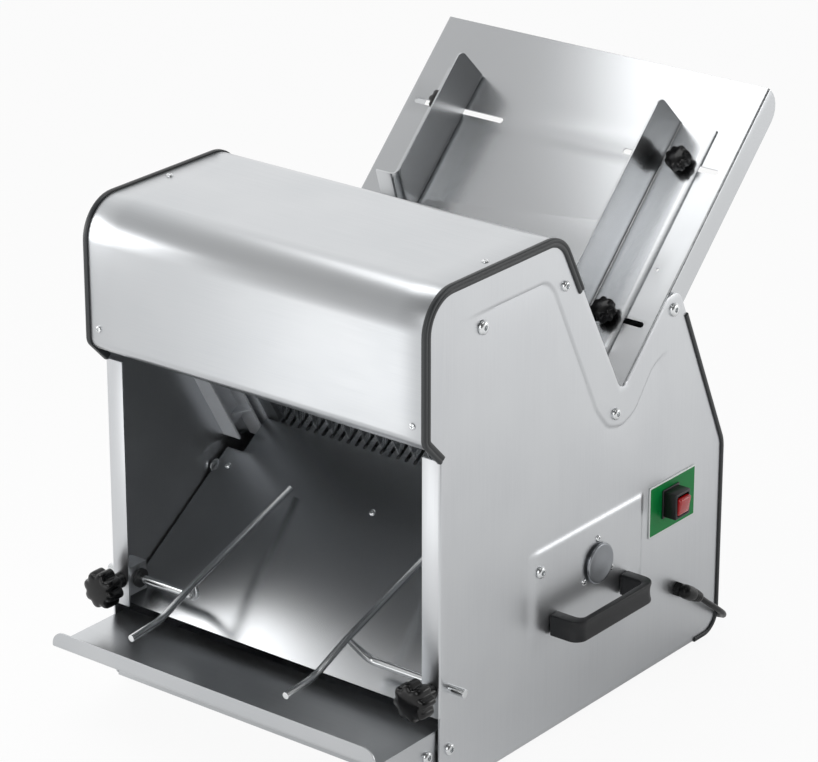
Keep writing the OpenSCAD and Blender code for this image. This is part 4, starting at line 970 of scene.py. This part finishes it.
boltPieces = []
for bolt in boltShape.panel:
    for side in (-1, 1):
        head, stand = boltOn(side, *bolt)
        boltPieces.append(placed(head, stand @ Matrix.Rotation(bolt[1] * boltShape.turn, 4, "Z")))
for x, y, z, reach in boltShape.collars:
    inner, outer = boltShape.collarRadii
    edge = boltShape.collarEdge
    for side in (-1, 1):
        collar = turnedPiece([(inner, 0), (outer, edge), (outer, reach - edge), (inner, reach)], 32)
        boltPieces.append(placed(collar, facingSide(side, x, y, z)))
finished(joined(boltPieces), "panelBolts", polishedBar, "panel_bolts", 40)
trayBolts = joined([placed(*boltOn(side, *boltShape.tray)) for side in (-1, 1)])
finished(trayBolts, "trayBolts", polishedBar, "tray_bolts", 40)

screwShape = Sizes(radius=4, height=2, coverX=216, coverTop=(-162, 583), coverFront=(-282, 440),
    plateAt=(0, -204, 127.2), plateAngle=34.4, plateUp=150, plateX=(-212, 0, 212))


def screwsAt(places, name, node):
    screws = joined([placed(panHead(screwShape.radius, screwShape.height), place) for place in places])
    finished(screws, name, polishedBar, node, 40)


coverScrewPlaces = []
for side in (-1, 1):
    coverScrewPlaces.append(Matrix.Translation((side * screwShape.coverX, *screwShape.coverTop)))
    coverScrewPlaces.append(Matrix.Translation((side * screwShape.coverX, *screwShape.coverFront))
        @ turn(90, "X"))
screwsAt(coverScrewPlaces, "coverScrews", "cover_screws")
onPlate = Matrix.Translation(screwShape.plateAt) @ turn(screwShape.plateAngle, "X")
screwsAt([onPlate @ Matrix.Translation((x, screwShape.plateUp, 0)) for x in screwShape.plateX],
    "dischargeScrews", "discharge_screws")

# Bearing caps: a spun disc with a rolled rim and a shallow dish, standing off the panel, with three
# screws round it. The profile's heights are shares of how far the cap stands out
capShape = Sizes(x=234, y=23, z=181, sides=64, screwRing=29, screwAngles=(90, 210, 330),
    profile=[(18.5, 0), (18.5, 0.4), (22.6, 0.4), (23.3, 0.48), (23.5, 0.6), (23.3, 0.82), (22.7, 0.95),
        (21.8, 1), (20.6, 0.985), (18, 0.9), (10, 0.84), (2, 0.82)])
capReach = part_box("bearing_caps")[1].x / toMetres - capShape.x
capPieces = []
capScrewPlaces = []
for side in (-1, 1):
    capProfile = [(radius, capReach * share) for radius, share in capShape.profile]
    cap = turnedPiece(capProfile, capShape.sides)
    capPieces.append(placed(cap, facingSide(side, capShape.x, capShape.y, capShape.z)))
    for angle in capShape.screwAngles:
        y = capShape.y + capShape.screwRing * math.cos(math.radians(angle))
        z = capShape.z + capShape.screwRing * math.sin(math.radians(angle))
        capScrewPlaces.append(facingSide(side, capShape.x, y, z))
finished(joined(capPieces), "bearingCaps", spunSteel, "bearing_caps", 40)
screwsAt(capScrewPlaces, "capScrews", "cap_screws")
print("fasteners done")

# Switch: a green printed plate with a bare border, a stepped housing and a lens rocker
switchShape = Sizes(plateX=232, plateT=1.5, plateLow=(122, 172), plateHigh=(212, 234), plateRadius=2,
    border=1.6, bodyDepth=18, bodyHalf=(14, 15.5), wall=3, bezel=2, pocketDepth=12,
    pivot=(247.5, 162, 206.5), tilt=10, rockerHalf=(10.4, 10.6), rockerOut=7, rockerRadius=2.2,
    rockerInsets=((2, 0.4), (3, 0.3)))
(plateY0, plateZ0), (plateY1, plateZ1) = switchShape.plateLow, switchShape.plateHigh
plateOutline = roundedOutline([(plateY0, plateZ0), (plateY1, plateZ0), (plateY1, plateZ1),
        (plateY0, plateZ1)], [switchShape.plateRadius] * 4, 5)
plate = flatOutline([(switchShape.plateX, p.x, p.y) for p in plateOutline])
thickened(plate, (switchShape.plateT, 0, 0))
softenEdges(plate, 0.25, 2, 60)
plate.data.materials.append(plateEdge)
plate.data.materials.append(plateEnamel)
pick(plate, "FACE", lambda face: face.normal.x > 0.9 and face.area > 1000)
bpy.ops.mesh.inset(thickness=switchShape.border, depth=0)
bpy.context.object.active_material_index = 1
bpy.ops.object.material_slot_assign()
objectMode()
finished(plate, "switchPlate", [plateEdge, plateEnamel], "switch_plate", 30)


def roundedBlock(low, high, radius, segments=3):
    centre = [(a + b) / 2 for a, b in zip(low, high)]
    piece = plainBlock(centre, [b - a for a, b in zip(low, high)])
    softenEdges(piece, radius, segments, 60)
    return piece


switchBase = switchShape.plateX + switchShape.plateT
switchFace = switchBase + switchShape.bodyDepth


def aroundSwitch(lowX, highX, growth, radius):  # a block round the switch's middle line
    middle, half = switchShape.pivot[1:], switchShape.bodyHalf
    return roundedBlock((lowX, middle[0] - half[0] - growth, middle[1] - half[1] - growth),
        (highX, middle[0] + half[0] + growth, middle[1] + half[1] + growth), radius)


housing = aroundSwitch(switchBase, switchFace, 0, 1.4)
pocket = aroundSwitch(switchFace - switchShape.pocketDepth, switchFace + 4, -switchShape.wall, 1.8)
cutAway(housing, pocket)
bezel = aroundSwitch(switchBase, switchBase + switchShape.bezel, switchShape.bezel, 0.8)
finished(joined([housing, bezel]), "switchHousing", switchBlack, "switch_body", 40)
rockerY, rockerZ = switchShape.rockerHalf
rocker = roundedBlock((0, -rockerY, -rockerZ), (switchShape.rockerOut, rockerY, rockerZ),
    switchShape.rockerRadius, 5)
pick(rocker, "FACE", lambda face: face.normal.x > 0.9 and face.area > 100)
for inset, depth in switchShape.rockerInsets:
    bpy.ops.mesh.inset(thickness=inset, depth=depth)
objectMode()
softenEdges(rocker, 0.3, 2, 30)
placed(rocker, Matrix.Translation(switchShape.pivot) @ turn(switchShape.tilt, "Y"))
finished(rocker, "switchRocker", lensRed, "switch_rocker", 40, "rocker")

# Cable gland: a hex nut, a domed bulb and a ribbed boot along the cord
glandShape = Sizes(nutAt=(232, 183, 88.6), nutProfile=[(9, 0), (9, 6.8), (8.5, 7.5), (7.8, 8)],
    nutSides=48, ball=(244.25, 183, 88.6), bootSides=40, bootProfile=[(2, -8.3), (4.6, -7.2), (7, -4.8),
        (8.2, -2.2), (8.5, 0), (8.5, 9), (8.3, 14), (7.9, 15.4), (7.4, 16), (7.4, 17.4), (7.7, 18),
        (7.6, 20.4), (6.9, 21), (6.9, 22.4), (7.2, 23), (7, 25.4), (6.3, 26), (6.3, 27.4), (6.5, 28)],
    bootEnd=[(6, -0.8), (5.2, 0), (3.4, 0)])
nut = turnedPiece(glandShape.nutProfile, glandShape.nutSides)
for vertex in nut.data.vertices:
    flat = glandShape.nutProfile[0][0] * hexReach(vertex)
    drawIn(vertex, min(1, flat / math.hypot(vertex.co.x, vertex.co.y)))
placed(nut, facingSide(1, *glandShape.nutAt))
ball = Vector(glandShape.ball)
bootWay = cordLine[0] - ball
bootEnd = [(radius, bootWay.length + height) for radius, height in glandShape.bootEnd]
boot = turnedPiece(glandShape.bootProfile + bootEnd, glandShape.bootSides)
placed(boot, Matrix.Translation(ball) @ bootWay.to_track_quat("Z", "Y").to_matrix().to_4x4())
finished(joined([nut, boot]), "cableGland", cordPvc, "cable_gland", 40)

# Feet
footShape = Sizes(x=190, y=(-200, 230), sides=40, profile=[(13.4, 0), (14.6, 0.5), (15.2, 1.6),
        (17.6, 6.8), (18, 8), (6, 8)])
footPieces = []
for y in footShape.y:
    for side in (-1, 1):
        foot = turnedPiece(footShape.profile, footShape.sides)
        footPieces.append(placed(foot, Matrix.Translation((side * footShape.x, y, 0))))
finished(joined(footPieces), "rubberFeet", footRubber, "rubber_feet", 40)
print("switch, gland and feet done")

# Solids that stay as they are take their real finish
keptFinish = {"discharge_plate": brightFeed, "base_plate": satinAcross, "rear_cover": satinAcross,
    "left_guide_rail": blastedRail, "right_guide_rail": blastedRail, "tie_bars": polishedBar,
    "crank_bearings": turnedIron, "motor": motorEnamel, "motor_bracket": motorEnamel,
    "capacitor": castAluminium, "drive_belt": beltNeoprene, "rod_holders": satinUpright,
    "front_blade_frame": castAluminium, "rear_blade_frame": castAluminium, "front_blades": bladeSteel,
    "rear_blades": bladeSteel, "crankshaft": polishedBar, "crank_pulley": turnedIron,
    "motor_shaft": polishedBar, "motor_pulley": turnedIron, "left_rod_bush": bushNylon,
    "right_rod_bush": bushNylon, "left_guide_nuts": polishedBar, "right_guide_nuts": polishedBar}
for name, material in keptFinish.items():
    nodes[name].data.materials.clear()
    nodes[name].data.materials.append(material)

# Floor: pale, shown nearly white to the camera and in reflections, less so close to the machine: in
# reflections a painted glow that grows with the distance from the machine stands in for light far off and
# shade near it, on the floor that the panels mirror
stageSetup = Sizes(floorSize=120, floorColor="#fdfdfd", whiteShare=0.92, mirrorAt=(0.25, 0.25, 0),
    mirrorSpan=(0.15, 1.0), mirrorShares=(0.1, 0.95), dimWay=(0.63, -0.55, 0.55), dimSpan=(-0.5, 0.85),
    skyShares=(1.2, 0.12))
floor = started(bpy.ops.mesh.primitive_plane_add, size=stageSetup.floorSize)
floor.name = "studioFloor"
floorMaterial = bpy.data.materials.new("paleFloor")
floorMaterial.use_nodes = True
floorTree = floorMaterial.node_tree
floorShader = floorTree.nodes["Principled BSDF"]
floorShader.inputs["Base Color"].default_value = linearColor(stageSetup.floorColor)
floorShader.inputs["Roughness"].default_value = 0.9
floorShader.inputs["Specular IOR Level"].default_value = 0.1
floorRays = addNode(floorTree, "ShaderNodeLightPath")
floorSpot = addNode(floorTree, "ShaderNodeTexCoord")
# Painted light and shade in reflections: the white glow's share rises from the machine outwards
away = combined(floorTree, "DISTANCE", floorSpot.outputs["Object"], stageSetup.mirrorAt,
    "ShaderNodeVectorMath")
paintedMirrorGlow = ranged(floorTree, away, stageSetup.mirrorSpan, stageSetup.mirrorShares)
bounced = combined(floorTree, "MAXIMUM", floorRays.outputs["Is Glossy Ray"],
    floorRays.outputs["Is Transmission Ray"])
inMirror = combined(floorTree, "MULTIPLY", bounced, paintedMirrorGlow)
inView = combined(floorTree, "MULTIPLY", floorRays.outputs["Is Camera Ray"], stageSetup.whiteShare)
whiteness = combined(floorTree, "MAXIMUM", inView, inMirror)
glow = addNode(floorTree, "ShaderNodeEmission", inputs={"Color": (1, 1, 1, 1), "Strength": 1.0})
shown = addNode(floorTree, "ShaderNodeMixShader", inputs={0: whiteness, 1: floorShader.outputs["BSDF"],
        2: glow.outputs["Emission"]})
floorTree.links.new(shown.outputs["Shader"], floorTree.nodes["Material Output"].inputs["Surface"])
floor.data.materials.append(floorMaterial)

# World: a plain white studio that falls off towards the front right
world = bpy.data.worlds.new("studio")
bpy.context.scene.world = world
world.use_nodes = True
worldTree = world.node_tree
worldTree.nodes.clear()
heading = addNode(worldTree, "ShaderNodeTexCoord")
leaning = combined(worldTree, "DOT_PRODUCT", heading.outputs["Generated"], stageSetup.dimWay,
    "ShaderNodeVectorMath")
level = ranged(worldTree, leaning, stageSetup.dimSpan, stageSetup.skyShares)
sky = addNode(worldTree, "ShaderNodeBackground", inputs={"Color": (1, 1, 1, 1), "Strength": level})
addNode(worldTree, "ShaderNodeOutputWorld", inputs={"Surface": sky.outputs["Background"]})

lampSetup = [
    Sizes(name="overheadSoftbox", place=(-0.28, -0.03, 1.6), target=(0.15, 0.2, 0.5), size=0.56, power=2),
    Sizes(name="frontSoftbox", place=(0.6, -2.4, 1.3), target=(0, 0, 0.3), size=1.6, power=18),
    Sizes(name="rightSoftbox", place=(0.66, -0.1, 1.18), target=(0.16, 0.19, 0.52), size=0.22, power=0.5),
    Sizes(name="lowSoftbox", place=(-0.34, -0.98, 0.14), target=(0.1, -0.3, 0.35), size=0.4, power=0.5),
    Sizes(name="leftSoftbox", place=(-0.42, -0.42, 0.55), target=(0, -0.2, 0.12), size=0.25, power=0.5),
    Sizes(name="rearSoftbox", place=(1.7, 1.6, 0.6), target=(0.2, 0, 0.3), size=0.8, power=5),
]
for lamp in lampSetup:
    bpy.ops.object.light_add(type="AREA", location=lamp.place)
    light = bpy.context.object
    light.name = lamp.name
    light.data.size = lamp.size
    light.data.energy = lamp.power
    light.visible_camera = False
    way = Vector(lamp.target) - Vector(lamp.place)
    light.rotation_euler = way.to_track_quat("-Z", "Y").to_euler()
bpy.context.scene.view_settings.view_transform = "Standard"
print("stage set")
